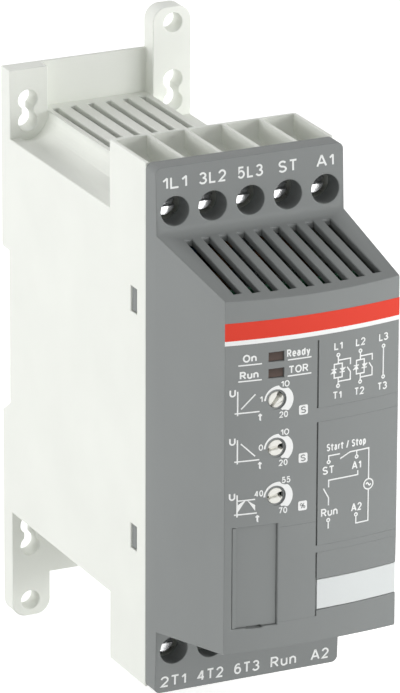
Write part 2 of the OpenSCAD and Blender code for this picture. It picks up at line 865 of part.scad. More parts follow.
// Domed lamp on the control board, at a height
module status_lamp(z)
    color("#d9e3d2") {
        round_forward(lamp_dia, dial_x, [control_front, lamp_front], z);
        translate([dial_x, -lamp_front, z]) sphere(d = lamp_dia);
    }

// Cream knob with a slotted face and a spindle that turns in the trimmer
module adjuster_knob(i)
    color("#e4e2d3") translate([dial_x, 0, dial_height(i)]) difference() {
        union() {
            round_forward(knob_dia, 0, [trimmer_front + clamp_play, knob_front], 0);
            round_forward(spindle_dia, 0, [control_front + board_t, trimmer_front + knob_dia / 2], 0);
        }
        rotate([0, -DIAL_TURNS[i - 1], 0]) {
            block(
                [-knob_dia, knob_dia], [knob_front - knob_slot_t, knob_front + pass], span(0, knob_slot_w)
            );
            block(
                [knob_dia / 4, knob_dia], [knob_front - knob_slot_t, knob_front + pass],
                span(0, 1.6 * knob_slot_w)
            );
        }
    }

// Square trimmer body on the control board
module trimmer(i)
    color("#2f5f8f") difference() {
        block(span(dial_x, trimmer_w), [control_front, trimmer_front], span(dial_height(i), trimmer_w));
        round_forward(
            spindle_dia + 2 * run_gap, dial_x, [control_front + board_t - run_gap, trimmer_front + pass],
            dial_height(i)
        );
    }

// Control board behind the front, with its screw holes
module control_board()
    color(BOARD_GREEN) difference() {
        block(span(0, 2 * control_x), [control_d, control_front], span(0, control_h));
        above_and_below() left_and_right()
            round_forward(
                board_screw_dia + 2 * run_gap, boss_x, [control_d - pass, control_front + pass], boss_z
            );
    }

// Screws that hold the control board to the bosses of the cover
module board_screws()
    color(STEEL) above_and_below() left_and_right() difference() {
        head_d = control_d - board_head_t;
        union() {
            round_forward(board_head_dia, boss_x, [head_d, control_d], boss_z);
            round_forward(board_screw_dia, boss_x, [head_d, control_front + board_screw_l], boss_z);
        }
        for (turn = [0, 90])
            translate([boss_x, 0, boss_z]) rotate([0, turn, 0])
                block(
                    span(0, board_screw_dia), [head_d - pass, control_d - board_head_t / 2],
                    span(0, driver_slot_w)
                );
    }

// Controller chip on the back of the control board
module controller_chip()
    color(BLACK) block(span(chip_w, chip_w), [control_d - chip_t, control_d], span(chip_w / 2, chip_w));

// Upright power board held in the card guides
module power_board()
    color(BOARD_GREEN) translate([(power_left + power_x) / 2, 0, 0]) across(board_t)
        polygon([
            [power_rear, -power_rear_z], [power_step_d, -power_rear_z], [power_step_d, -power_front_z],
            [power_front, -power_front_z], [power_front, power_front_z], [power_step_d, power_front_z],
            [power_step_d, power_rear_z], [power_rear, power_rear_z]
        ]);

// Plug strip between the power board and the control board
module board_connector()
    color(BLACK) block(
        [power_x, power_x + connector_reach], [power_front - connector_l, control_d],
        span(connector_z, connector_h)
    );

// Bypass relay on the power board, with a rounded case
module bypass_relay() {
    case_r = 1;
    color("#34506e") translate([power_x, 0, 0]) rotate([0, 90, 0]) linear_extrude(relay_reach)
        translate([-relay_z, -relay_d]) {
            square([relay_h - 2 * case_r, relay_w], center = true);
            square([relay_h, relay_w - 2 * case_r], center = true);
            for (a = [-1, 1], b = [-1, 1])
                translate([a * (relay_h / 2 - case_r), b * (relay_w / 2 - case_r)]) circle(case_r);
        }
}

// Aluminium heat sink with upright fins that reach the right-hand wall
module heat_sink() {
    tip_x = hollow_x - clamp_play;
    fin_step = (sink_l - fin_t) / (fin_count - 1);
    color("#b9bcc0") difference() {
        union() {
            block([sink_x, sink_x + sink_base_t], [sink_rear, sink_rear + sink_l], span(0, sink_h));
            for (i = [0 : fin_count - 1])
                block(
                    [sink_x, tip_x], [sink_rear + i * fin_step, sink_rear + i * fin_step + fin_t],
                    span(0, sink_h)
                );
        }
        above_and_below() for (s = [-1, 1])
            round_across(
                module_screw_dia + 2 * run_gap, [sink_x - pass, sink_x + 2 * sink_base_t], module_d,
                module_z + s * module_screw_z
            );
    }
}

// Upper thyristor module on the heat sink, with leads to the power board
module thyristor_module()
    color(BLACK) {
        difference() {
            block([sink_x - module_t, sink_x], span(module_d, module_w), span(module_z, module_h));
            for (s = [-1, 1])
                round_across(
                    module_screw_dia + 2 * run_gap, [sink_x - module_t - pass, sink_x + pass], module_d,
                    module_z + s * module_screw_z
                );
        }
        for (i = [-1 : 1])
            round_across(lead_dia, [power_x, sink_x - module_t / 2], lead_d, module_z + i * lead_pitch);
    }

// Screws that press the thyristor modules on the heat sink
module module_screws()
    color(STEEL) above_and_below() for (s = [-1, 1]) {
        z = module_z + s * module_screw_z;
        face = sink_x - module_t;
        round_across(module_screw_dia, [face - module_head_t / 2, sink_x + 1.5 * sink_base_t], module_d, z);
        round_across(2 * module_screw_dia, [face - module_head_t, face], module_d, z);
    }

// Supply transformer on the power board, with its core and its winding
module supply_transformer() {
    core_t = transformer_w / 4;
    color("#8a7a3c") {
        for (s = [-1, 1])
            block(
                [power_x, power_x + transformer_reach], span(transformer_d, transformer_w),
                span(s * (transformer_w - core_t) / 2, core_t)
            );
        block(
            [power_x, power_x + transformer_reach - winding_inset],
            span(transformer_d, transformer_w - 2 * winding_inset), span(0, transformer_w - core_t)
        );
    }
}

// Filter capacitor on the power board, with a rolled edge
module filter_capacitor()
    color("#2d3a56") {
        foot = power_x + capacitor_groove;
        body = foot + capacitor_groove;
        tip = power_x + transformer_reach;
        round_across(capacitor_dia, [power_x, foot], transformer_d, capacitor_z);
        round_across(0.9 * capacitor_dia, [power_x, body], transformer_d, capacitor_z);
        round_across(capacitor_dia, [body, tip], transformer_d, capacitor_z);
    }

// Straight bar that joins the middle poles from top to bottom
module through_bar()
    color(COPPER) block(span(0, bar_w), [bar_rear, bar_front], span(0, 2 * bar_top_z));

// Bar of an upper pole: to the power board on the left, to the control board on the right
module terminal_bar(i) {
    x = span(pole_x(i), bar_w);
    foot_z = [bar_end_z, bar_end_z + bar_foot_h];
    color(COPPER) {
        block(x, [bar_rear, bar_front], [bar_end_z, bar_top_z]);
        if (i == 1) block([x[1] - pass, power_left], [bar_rear, bar_front], foot_z);
        if (i == 2) block([power_x, x[0] + pass], [bar_rear, bar_front], foot_z);
        if (i > 3) {
            strip_x = span(min(pole_x(i), control_x - control_strip_w), control_strip_w);
            block(strip_x, [bar_rear, bar_front], [control_strip_z - bar_t, foot_z[1]]);
            block(strip_x, [bar_rear, control_d], [control_strip_z - bar_t, control_strip_z]);
        }
    }
}

// Rising clamp cage of an upper pole, open above and below for the wire
module clamp_cage()
    color(STEEL) difference() {
        block(span(0, cage_w), [cage_rear, cage_front], span(screw_z, cage_h));
        block(
            span(0, cage_hollow_w), [cage_hollow_rear, cage_front - cage_nut_t],
            span(screw_z, cage_h + 2 * pass)
        );
        round_forward(thread_dia + 2 * run_gap, 0, [cage_hollow_rear, cage_front + pass], screw_z);
    }

// Terminal screw of an upper pole, with a crossed driver recess
module terminal_screw() {
    recess_t = head_t / 2;
    color(STEEL) difference() {
        union() {
            round_forward(head_dia, 0, [head_under, head_front], screw_z);
            round_forward(thread_dia, 0, [bar_front + run_gap, head_front - recess_t], screw_z);
        }
        recess = [head_front - recess_t, head_front + pass];
        block(span(0, 2 * head_dia), recess, span(screw_z, driver_slot_w));
        block(span(0, driver_slot_w), recess, span(screw_z, thread_dia));
    }
}

// Spring-loaded latch that slides in the back and hooks behind the rail
module rail_latch() {
    neck_w = latch_w - 2 * latch_ledge;
    foot = latch_lip_t + seat_gap;
    eye_w = 3;
    eye_h = 2;
    color("#3c3e40") difference() {
        union() {
            across(neck_w) polygon([
                [latch_back, latch_end_z], [latch_front, latch_end_z], [latch_front, -rail_z - seat_gap],
                [latch_back + hook_t, -rail_z - seat_gap], [latch_back + hook_t, latch_nose_z],
                [latch_back + hook_t / 2, latch_nose_z], [latch_back, latch_nose_z - hook_t / 2]
            ]);
            block(span(0, latch_w), [foot, latch_front], [latch_end_z, -rail_z - seat_gap]);
            block(span(0, pull_w), [foot, foot + pull_t], [pull_end_z, latch_end_z + pass]);
        }
        block(span(0, eye_w), [0, latch_front], [pull_end_z + eye_h / 2, pull_end_z + 3 * eye_h / 2]);
    }
}

// Point of a spring's wire: ring along the helix, corner around the wire
function spring_point(ring, corner, rings, corners) =
    let (
        turn = 360 * spring_turns * ring / (rings - 1),
        around = 360 * corner / corners,
        wire_r = spring_wire / 2,
        r = spring_dia / 2 - wire_r + wire_r * cos(around),
        rise = wire_r + (spring_l - 3 * seat_gap - spring_wire) * ring / (rings - 1)
    )
    [r * cos(turn), r * sin(turn), rise + wire_r * sin(around)];

// Coil spring that stands on its end
module coil_spring() {
    corners = 6;
    rings = spring_turns * 12 + 1;
    last = (rings - 1) * corners;
    points = [for (i = [0 : rings - 1], j = [0 : corners - 1]) spring_point(i, j, rings, corners)];
    sides = [
        for (i = [0 : rings - 2], j = [0 : corners - 1], half = [0, 1])
            let (k = (j + 1) % corners, a = i * corners, b = a + corners)
            half == 0 ? [a + j, a + k, b + k] : [a + j, b + k, b + j]
    ];
    caps = [[for (j = [corners - 1 : -1 : 0]) j], [for (j = [0 : corners - 1]) last + j]];
    polyhedron(points, concat(sides, caps));
}

// Pair of springs that push the latch up against the rail
module latch_springs()
    color(STEEL) left_and_right()
        translate([spring_x, -(latch_lip_t + latch_front) / 2, latch_stop_z + seat_gap]) coil_spring();

base_housing();
front_cover();
marker_plate();
plug_cover();
plug_socket();
led_window(window_z);  // led_window_upper
led_window(window_z - window_pitch);  // led_window_lower
status_lamp(window_z);  // status_lamp_upper
status_lamp(window_z - window_pitch);  // status_lamp_lower
control_board();
board_screws();
controller_chip();
power_board();
board_connector();
bypass_relay();  // bypass_relay_upper
at_end("lower") bypass_relay();  // bypass_relay_lower
heat_sink();
module_screws();
thyristor_module();  // thyristor_module_upper
at_end("lower") thyristor_module();  // thyristor_module_lower
supply_transformer();
filter_capacitor();
through_bar();
rail_latch();
latch_springs();
for (i = DIALS) {
    adjuster_knob(i);
    trimmer(i);
}
for (e = ENDS, i = BAR_POLES)
    at_end(e) terminal_bar(i);
for (e = ENDS, i = POLES) {
    at_pole(e, i) clamp_cage();
    at_pole(e, i) terminal_screw();
}
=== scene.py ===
# Finishes, print, light and camera of the soft starter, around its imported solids
import json
import math

import bmesh
import bpy
from mathutils import Matrix, Vector

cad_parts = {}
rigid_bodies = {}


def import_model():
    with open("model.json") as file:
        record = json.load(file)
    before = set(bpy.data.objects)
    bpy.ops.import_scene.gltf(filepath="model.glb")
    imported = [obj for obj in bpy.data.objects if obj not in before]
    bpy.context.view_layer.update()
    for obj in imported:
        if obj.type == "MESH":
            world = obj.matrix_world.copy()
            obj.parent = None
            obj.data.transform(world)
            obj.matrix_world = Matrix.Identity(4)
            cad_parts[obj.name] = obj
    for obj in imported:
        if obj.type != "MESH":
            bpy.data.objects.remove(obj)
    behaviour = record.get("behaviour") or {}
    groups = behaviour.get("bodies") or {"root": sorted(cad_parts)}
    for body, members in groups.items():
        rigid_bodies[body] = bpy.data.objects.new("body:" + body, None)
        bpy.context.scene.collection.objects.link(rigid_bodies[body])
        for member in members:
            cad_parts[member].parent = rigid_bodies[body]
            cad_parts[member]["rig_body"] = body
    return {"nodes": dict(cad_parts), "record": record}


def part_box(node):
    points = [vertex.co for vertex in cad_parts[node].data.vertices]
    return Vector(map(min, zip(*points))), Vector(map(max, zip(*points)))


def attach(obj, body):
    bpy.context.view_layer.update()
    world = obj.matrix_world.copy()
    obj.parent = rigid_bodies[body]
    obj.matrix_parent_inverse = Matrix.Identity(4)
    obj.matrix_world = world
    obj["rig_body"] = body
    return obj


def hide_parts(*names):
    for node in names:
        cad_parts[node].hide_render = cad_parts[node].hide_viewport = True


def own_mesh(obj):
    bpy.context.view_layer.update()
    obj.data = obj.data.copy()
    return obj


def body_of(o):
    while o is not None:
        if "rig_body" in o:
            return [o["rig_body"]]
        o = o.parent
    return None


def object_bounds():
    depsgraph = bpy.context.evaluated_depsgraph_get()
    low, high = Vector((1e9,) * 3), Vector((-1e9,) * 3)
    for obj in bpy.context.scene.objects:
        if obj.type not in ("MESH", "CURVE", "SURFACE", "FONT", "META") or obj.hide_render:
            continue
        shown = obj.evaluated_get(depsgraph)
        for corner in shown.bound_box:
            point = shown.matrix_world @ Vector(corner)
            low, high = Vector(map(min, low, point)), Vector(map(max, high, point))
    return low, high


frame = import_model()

cad_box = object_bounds()

# Sizes of the printed faces in millimetres; depth counts forward from the wall
MM = 0.001
FRONT_D = -cad_box[0][1] / MM
FRONT_BOW = 2.0
FRONT_HALF_W = 20.7
FRONT_R = (FRONT_HALF_W ** 2 + FRONT_BOW ** 2) / (2 * FRONT_BOW)
TERMINAL_END_D = 81.7
TERMINAL_END_Z = 60.8
TERMINAL_STEP_D = 82.4
TERMINAL_STEP_Z = 45.9
POLE_PITCH = 9.0

# Print: its height and depth, the layers of crossing lines, line widths, longest step, and its letters
INK_LIFT = 0.04
INK_SINK = 0.06
INK_LAYER = 0.004
INK_LAYERS = 8
LINE_W = 0.29
FINE_W = 0.28
STEP = 1.2
LETTER_WEIGHT = 0.17
LETTER_GAP = 0.11
SMALL_HEIGHT = 0.74
DESCENT = -0.27

# Camera, found from the corners of the object in a frame of 400 by 693
IMAGE_H = 693
FOCAL_PIXELS = 6472.5
SENSOR = 36.0
CAMERA_AZIMUTH = -25.618
CAMERA_ELEVATION = 19.736
CAMERA_ROLL = 0.234
CAMERA_DISTANCE = 1431.8
CAMERA_AIM = (0.654, -55.858, 8.622)
CAMERA_REACH = 20.0

# Soft boxes: place and size in metres, power in watts
LAMPS = {
    "left box": ((-1.2, 0.3, 0.165), (0.9, 0.47), 7.6),
    "right front box": ((0.75, -1.15, 0.14), (0.9, 0.42), 5.1),
    "right box": ((1.2, -0.5, 0.315), (0.9, 0.77), 7.7),
    "rear box": ((0.0, 1.0, 0.62), (0.9, 0.9), 3.5),
    "low front box": ((-0.1, -1.3, -0.02), (1.2, 0.1), 2.0),
}
# Room and floor: light on the object, what the camera sees, the floor's glow, its grey and its mottle
ROOM_LEVEL = 0.4
SEEN_LEVEL = 1.0
FLOOR_GLOW = 0.6
FLOOR_GREY = 0.85
FLOOR_MOTTLE = 0.02
FLOOR_HALF = 3.0

# Painted shade in holes: how far their walls look for open air, by how many rays, and the shares that count
# as deep and open
HOLE_REACH = 9.0
AIR_RAYS = 8
HOLE_SHADE = (0.06, 0.5)


def bow_normal(place):
    """Direction of the front's true curve at a place."""
    across = place.x / (FRONT_R * MM)
    return Vector((across, -math.sqrt(1 - across ** 2), 0.0))


def bow_depth(x):
    """Depth of the bowed front at a sideways place."""
    return FRONT_D - FRONT_R + math.sqrt(FRONT_R ** 2 - x ** 2)


def on_front(x, z, lift):
    """Point of the bowed front, lifted off it by a height."""
    return Vector((x, -bow_depth(x) - lift, z)) * MM


def on_terminals(x, z, lift):
    """Point of an upper or lower terminal face, lifted off it by a height."""
    share = (TERMINAL_END_Z - abs(z)) / (TERMINAL_END_Z - TERMINAL_STEP_Z)
    depth = TERMINAL_END_D + share * (TERMINAL_STEP_D - TERMINAL_END_D)
    return Vector((x, -depth - lift, z)) * MM


class Value:
    """A socket that joins in Python expressions; each operator adds one Math node."""

    def __init__(self, nodes, socket):
        self.nodes = nodes
        self.socket = socket

    def math(self, operation, first, second):
        return self.nodes.node("ShaderNodeMath", {"operation": operation}, {0: first, 1: second})

    def __add__(self, other):
        return self.math("ADD", self, other)

    def __sub__(self, other):
        return self.math("SUBTRACT", self, other)

    def __rsub__(self, other):
        return self.math("SUBTRACT", other, self)

    def __mul__(self, other):
        return self.math("MULTIPLY", self, other)

    __radd__ = __add__


class Nodes:
    """A node tree, built up from nothing."""

    def __init__(self, owner):
        owner.use_nodes = True
        self.tree = owner.node_tree
        self.tree.nodes.clear()

    def node(self, kind, settings=None, inputs=None, output=0):
        """A node of a kind: its settings come first, then the values or links of its sockets."""
        made = self.tree.nodes.new(kind)
        for name, setting in (settings or {}).items():
            if name == "stops":
                self.set_stops(made.color_ramp, setting)
            else:
                setattr(made, name, setting)
        for name, value in (inputs or {}).items():
            if isinstance(value, Value):
                self.tree.links.new(value.socket, made.inputs[name])
            else:
                made.inputs[name].default_value = value
        return Value(self, made.outputs[output]) if made.outputs else made

    @staticmethod
    def set_stops(ramp, stops):
        while len(ramp.elements) < len(stops):
            ramp.elements.new(1.0)
        for element, (position, level) in zip(ramp.elements, stops):
            element.position = position
            element.color = (level, level, level, 1.0)

    def seen(self):
        """1 for a ray from the camera, off a mirror or through glass, and 0 for the light on the object."""
        rays = ("Is Camera Ray", "Is Glossy Ray", "Is Transmission Ray")
        camera, glossy, clear = (self.node("ShaderNodeLightPath", output=ray) for ray in rays)
        return camera + glossy + clear


class Finish(Nodes):
    """A node material of one piece's finish, in the object's own space."""

    def __init__(self, name):
        self.material = bpy.data.materials.new(name)
        super().__init__(self.material)
        self.place = self.node("ShaderNodeTexCoord", output="Object")

    def noise(self, scale, detail=2.0, stretch=(1.0, 1.0, 1.0)):
        """Cloudy values from 0 to 1 with a number of lumps to the metre, stretched along the axes."""
        spread = self.node(
            "ShaderNodeVectorMath", {"operation": "MULTIPLY"}, {0: self.place, 1: stretch}
        )
        return self.node("ShaderNodeTexNoise", {}, {"Vector": spread, "Scale": scale, "Detail": detail})

    def banded(self, value, low, high):
        """A value brought from a low and a high bound to the range 0 to 1."""
        return self.node("ShaderNodeValToRGB", {"stops": [(low, 0.0), (high, 1.0)]}, {"Fac": value})

    def tint(self, mask, first, second):
        """A colour between two colours."""
        return self.node(
            "ShaderNodeMix", {"data_type": "RGBA"},
            {"Factor": mask, 6: self.opaque(first), 7: self.opaque(second)}, output=2,
        )

    @staticmethod
    def opaque(colour):
        """A socket as it is, or three channels made into a full colour."""
        return colour if isinstance(colour, Value) else colour + (1.0,)

    def open_air(self, reach, low, high):
        """0 deep in a hole of the piece and 1 on its open faces, a mask for painted shade; reach is in
        millimetres.
        """
        sky = self.node(
            "ShaderNodeAmbientOcclusion", {"samples": AIR_RAYS, "only_local": True},
            {"Distance": reach * MM}, output="AO",
        )
        return self.banded(sky, low, high)

    def relief(self, height, depth, strength=1.0):
        """A normal from a height map with a depth in millimetres."""
        return self.node(
            "ShaderNodeBump", {}, {"Height": height, "Distance": depth * MM, "Strength": strength}
        )

    def surface(self, **sockets):
        """The finish's one principled surface."""
        names = {key.replace("_", " ").title(): value for key, value in sockets.items()}
        names = {name.replace("Ior", "IOR"): value for name, value in names.items()}
        shader = self.node("ShaderNodeBsdfPrincipled", {}, names)
        self.node("ShaderNodeOutputMaterial", {}, {"Surface": shader})
        return self.material


def shade(colour, factor):
    """A colour made lighter or darker."""
    return tuple(min(1.0, channel * factor) for channel in colour)


def moulded_plastic(name, colour, grain, roughness, shine, core=1.0):
    """Matte moulded plastic: an eroded grain, slow shading of the colour and patches of shine.

    Deep in holes the colour is darkened to the core's share of it by an occlusion mask, which is painted
    shade.
    """
    finish = Finish(name)
    grains = finish.noise(grain, detail=3.0)
    clouds = finish.banded(finish.noise(45.0, detail=3.0), 0.3, 0.7)
    flow = finish.noise(160.0, detail=2.0, stretch=(1.0, 1.0, 0.25))
    mottle = clouds * 0.7 + grains * 0.3
    skin = finish.tint(mottle, shade(colour, 0.97), shade(colour, 1.03))
    # Painted shade: deep in holes the colour darkens, following the occlusion mask
    if core < 1:
        skin = finish.tint(finish.open_air(HOLE_REACH, *HOLE_SHADE), shade(colour, core), skin)
    return finish.surface(
        base_color=skin,
        roughness=roughness + flow * 0.1 - grains * 0.06,
        specular_ior_level=shine,
        normal=finish.relief(grains + flow * 0.3, 0.03, 0.35),
    )


def printed_ink(name, colour):
    """Screen print: an even colour with a faint weave of the screen and a satin shine."""
    finish = Finish(name)
    speckle = finish.noise(5200.0, detail=2.0)
    clouds = finish.noise(120.0)
    return finish.surface(
        base_color=finish.tint(clouds * 0.6 + speckle * 0.4, shade(colour, 0.96), shade(colour, 1.02)),
        roughness=0.42 + speckle * 0.12,
        specular_ior_level=0.3,
        normal=finish.relief(speckle, 0.01, 0.3),
    )


def clear_moulding(name, colour, coat, shine):
    """Dark or pale clear plastic: a glossy skin over a cloudy body, with painted shade that makes it darker
    towards its top.
    """
    finish = Finish(name)
    share = finish.node("ShaderNodeTexCoord", output="Generated")
    low = 1 - finish.node("ShaderNodeSeparateXYZ", {}, {"Vector": share}, output="Z")
    clouds = finish.banded(finish.noise(420.0, detail=3.0), 0.3, 0.7)
    waves = finish.noise(900.0)
    return finish.surface(
        # Painted shade: the body runs from a shaded copy of the colour at the top to a lit copy lower down
        base_color=finish.tint(low * 0.7 + clouds * 0.3, shade(colour, 0.5), shade(colour, 1.4)),
        roughness=0.16 + waves * 0.16,
        specular_ior_level=shine,
        coat_weight=coat,
        coat_roughness=0.08,
        normal=finish.relief(waves, 0.02, 0.25),
    )


def rolled_metal(name, colour, lines, roughness):
    """Plated or rolled metal with fine lines along the height and dull patches."""
    finish = Finish(name)
    brushed = finish.noise(lines, detail=2.0, stretch=(1.0, 1.0, 0.06))
    patches = finish.banded(finish.noise(300.0, detail=3.0), 0.35, 0.7)
    return finish.surface(
        base_color=finish.tint(patches, shade(colour, 0.88), shade(colour, 1.06)),
        metallic=1.0,
        roughness=roughness + brushed * 0.14 + patches * 0.08,
        normal=finish.relief(brushed, 0.015, 0.4),
    )


def lacquered_board(name, colour):
    """Green board lacquer over the lighter tracks of the copper below."""
    finish = Finish(name)
    tracks = finish.node(
        "ShaderNodeTexBrick", {"offset": 0.5, "squash": 1.0},
        {"Vector": finish.place, "Scale": 150.0, "Mortar Size": 0.03, "Row Height": 0.4}, output="Fac",
    )
    clouds = finish.noise(90.0)
    return finish.surface(
        base_color=finish.tint(tracks * 0.8 + clouds * 0.2, shade(colour, 0.85), shade(colour, 1.9)),
        roughness=0.28 + clouds * 0.14,
        coat_weight=0.3,
        normal=finish.relief(tracks, 0.03, 0.5),
    )


# Base colours, as the finish would show them in plain white light
LIGHT_GREY = (0.87, 0.89, 0.835)
DARK_GREY = (0.262, 0.275, 0.272)
MARKER_WHITE = (0.72, 0.75, 0.745)
KNOB_CREAM = (0.84, 0.835, 0.78)
SMOKED_BROWN = (0.075, 0.050, 0.040)
LAMP_GREEN = (0.62, 0.70, 0.58)
CASE_BLACK = (0.025, 0.025, 0.028)
CASE_BLUE = (0.05, 0.10, 0.22)
BOARD_GREEN = (0.03, 0.15, 0.075)
ZINC = (0.74, 0.75, 0.76)
COPPER = (0.42, 0.24, 0.13)
ALUMINIUM = (0.66, 0.67, 0.69)
CORE_OCHRE = (0.30, 0.25, 0.08)
INK_WHITE = (0.92, 0.93, 0.92)
BAND_RED = (0.74, 0.042, 0.018)

finishes = {
    "light_plastic": moulded_plastic("light grey moulding", LIGHT_GREY, 3600.0, 0.45, 0.4),
    # The dark moulding carries painted shade in its holes, down to 0.12 of its colour
    "dark_plastic": moulded_plastic("dark grey moulding", DARK_GREY, 3000.0, 0.5, 0.12, core=0.12),
    "marker_white": printed_ink("white marker plate", MARKER_WHITE),
    "cream_plastic": moulded_plastic("cream knob", KNOB_CREAM, 5000.0, 0.34, 0.4),
    # Both clear mouldings carry painted shade, darker towards their tops
    "smoked_window": clear_moulding("smoked window", SMOKED_BROWN, 0.1, 0.25),
    "lamp_clear": clear_moulding("clear lamp", LAMP_GREEN, 0.6, 0.5),
    "black_moulding": moulded_plastic("black moulding", CASE_BLACK, 3200.0, 0.45, 0.35),
    "blue_moulding": moulded_plastic("blue case", CASE_BLUE, 3200.0, 0.4, 0.35),
    "board_green": lacquered_board("green board", BOARD_GREEN),
    "zinc_steel": rolled_metal("zinc plated steel", ZINC, 1500.0, 0.12),
    "copper_bar": rolled_metal("copper strip", COPPER, 1200.0, 0.3),
    "sink_metal": rolled_metal("extruded aluminium", ALUMINIUM, 900.0, 0.36),
    "ferrite": moulded_plastic("wound core", CORE_OCHRE, 1800.0, 0.5, 0.35),
}
white_ink = printed_ink("white print", INK_WHITE)
red_ink = printed_ink("red band", BAND_RED)
grey_ink = printed_ink("grey print", DARK_GREY)

# Pieces that repeat
KNOBS = [f"adjuster_knob_{i}" for i in (1, 2, 3)]
SCREWS = [f"terminal_screw_{end}_{i}" for end in ("upper", "lower") for i in (1, 2, 3, 4, 5)]

# Radius of the rounded edges, and how many radii wide a face has to be to carry one
EDGE_RADII = {
    "base_housing": 0.25,
    "front_cover": 0.22,
    "plug_cover": 0.08,
    "marker_plate": 0.1,
    "rail_latch": 0.15,
    **dict.fromkeys(KNOBS, 0.2),
    **dict.fromkeys(SCREWS, 0.3),
}
ROOM_SHARE = 2.4

# Dial wells and knobs: radii, the head that comes forward, and the slot with its deep ends
WELL_R = 2.25
RIM_PLAY = 0.1
KNOB_R = 1.8
KNOB_HEAD = 1.5
KNOB_RISE = 0.5
SLOT_T = 0.9
POCKET_START = (0.9, 1.15)
POCKET_WALL = 0.05
POCKET_PLAY = 0.02
POCKET_DEPTH = 1.6

# Seat ring around a knob: its top and underside below the face, its play and its sides
SEAT_TOP = 0.18
SEAT_DEPTH = 1.0
SEAT_PLAY = 0.08
SEAT_SIDES = 48

# Depth of the dish in a screw's head
SCREW_DISH = 0.45

# Fine break lines of the front: their walls are lower than this, and face up or down by this share
BREAK_MOST = 0.1
UPRIGHT = 0.9

# Distances that count as one point and as level, and the angles of flat, sharp and bowed faces
WELD = 0.002 * MM
LEVEL_PLAY = 10 * WELD
FLAT_ANGLE = math.radians(0.05)
SHARP_ANGLE = math.radians(35.0)
BOW_ANGLE = math.radians(4.0)


def arc(centre, radii, first, last, steps):
    """Points of an oval arc between two angles in degrees, counted from the right."""
    turns = [math.radians(first + (last - first) * i / (steps - 1)) for i in range(steps)]
    return [(centre[0] + radii[0] * math.cos(turn), centre[1] + radii[1] * math.sin(turn)) for turn in turns]


def has_room(edge, face, radius):
    """Whether a face reaches far enough from one of its edges to carry a radius there."""
    start, end = (vert.co for vert in edge.verts)
    along = (end - start).normalized()
    ways = [vert.co - start for vert in face.verts]
    return max((way - along * along.dot(way)).length for way in ways) > ROOM_SHARE * radius


def front_place(turned):
    """Middle of a knob or screw as seen from the front, from the frame."""
    low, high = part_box(turned)
    return Vector(((low.x + high.x) / 2 / MM, (low.z + high.z) / 2 / MM))


WELLS = [front_place(knob) for knob in KNOBS]


def in_well(edge):
    """Whether an edge belongs to the rim of a dial well."""
    middle = (edge.verts[0].co + edge.verts[1].co) / (2 * MM)
    place = Vector((middle.x, middle.z))
    return any((place - well).length < WELL_R + RIM_PLAY for well in WELLS)


def in_break(edge):
    """Whether an edge belongs to a fine break line of the front, too shallow to carry a radius."""
    walls = [face for face in edge.link_faces if abs(face.normal.z) > UPRIGHT]
    depths = [max(bow_depth(vert.co.x / MM) + vert.co.y / MM for vert in wall.verts) for wall in walls]
    return any(depth < BREAK_MOST for depth in depths)


def add_seats(mould):
    """Grey ring in each dial well, a little below the face, around the knob."""
    for middle in WELLS:
        face = bow_depth(middle.x)
        profile = [
            (KNOB_R + SEAT_PLAY, face - SEAT_TOP), (WELL_R + SEAT_PLAY, face - SEAT_TOP),
            (WELL_R + SEAT_PLAY, face - SEAT_DEPTH), (KNOB_R + SEAT_PLAY, face - SEAT_DEPTH),
        ]
        rings = []
        for radius, depth in profile:
            circle = arc(middle, (radius, radius), 0, 360 - 360 / SEAT_SIDES, SEAT_SIDES)
            rings.append([mould.verts.new(Vector((x, -depth, z)) * MM) for x, z in circle])
        for a, b in zip(rings, rings[1:] + rings[:1]):
            for i in range(SEAT_SIDES):
                j = (i + 1) % SEAT_SIDES
                mould.faces.new((a[i], a[j], b[j], b[i]))


def slot_way(floor, middle):
    """Direction of a knob's slot: the long axis of the points of its floor."""
    ways = [Vector((vert.co.x / MM - middle.x, vert.co.z / MM - middle.y)) for vert in floor]
    spread = sum(way.x ** 2 - way.y ** 2 for way in ways)
    slant = sum(2 * way.x * way.y for way in ways)
    turn = math.atan2(slant, spread) / 2
    return Vector((math.cos(turn), 0.0, math.sin(turn)))


def shape_knob(mould, knob):
    """Brings the slotted face of a knob level with the front, and deepens the ends of its slot."""
    front = min(vert.co.y for vert in mould.verts)
    middle = front_place(knob)
    floor_y = front + SLOT_T * MM
    floor = [vert for vert in mould.verts if abs(vert.co.y - floor_y) < LEVEL_PLAY]
    way = slot_way(floor, middle)
    axis = Vector((middle.x, 0.0, middle.y)) * MM
    for sign, start in zip((1, -1), POCKET_START):
        for side in (start, start + POCKET_WALL):
            geometry = mould.verts[:] + mould.edges[:] + mould.faces[:]
            plane = axis + way * (sign * side * MM)
            bmesh.ops.bisect_plane(mould, geom=geometry, dist=WELD, plane_co=plane, plane_no=way)
        for vert in mould.verts:
            along = (vert.co - axis).dot(way) * sign / MM
            if abs(vert.co.y - floor_y) < LEVEL_PLAY and along > start + POCKET_PLAY:
                vert.co.y += POCKET_DEPTH * MM
    for vert in mould.verts:
        if vert.co.y < front + KNOB_HEAD * MM:
            vert.co.y -= KNOB_RISE * MM


def dish_head(mould, middle):
    """Dishes the driven face of a screw, which then shows the light outside its hole."""
    front = min(vert.co.y for vert in mould.verts)
    face = [vert for vert in mould.verts if vert.co.y < front + LEVEL_PLAY]
    reach = {vert: Vector((vert.co.x - middle.x * MM, vert.co.z - middle.y * MM)).length for vert in face}
    rim = max(reach.values())
    for vert, distance in reach.items():
        vert.co.y += SCREW_DISH * MM * (1 - distance / rim)


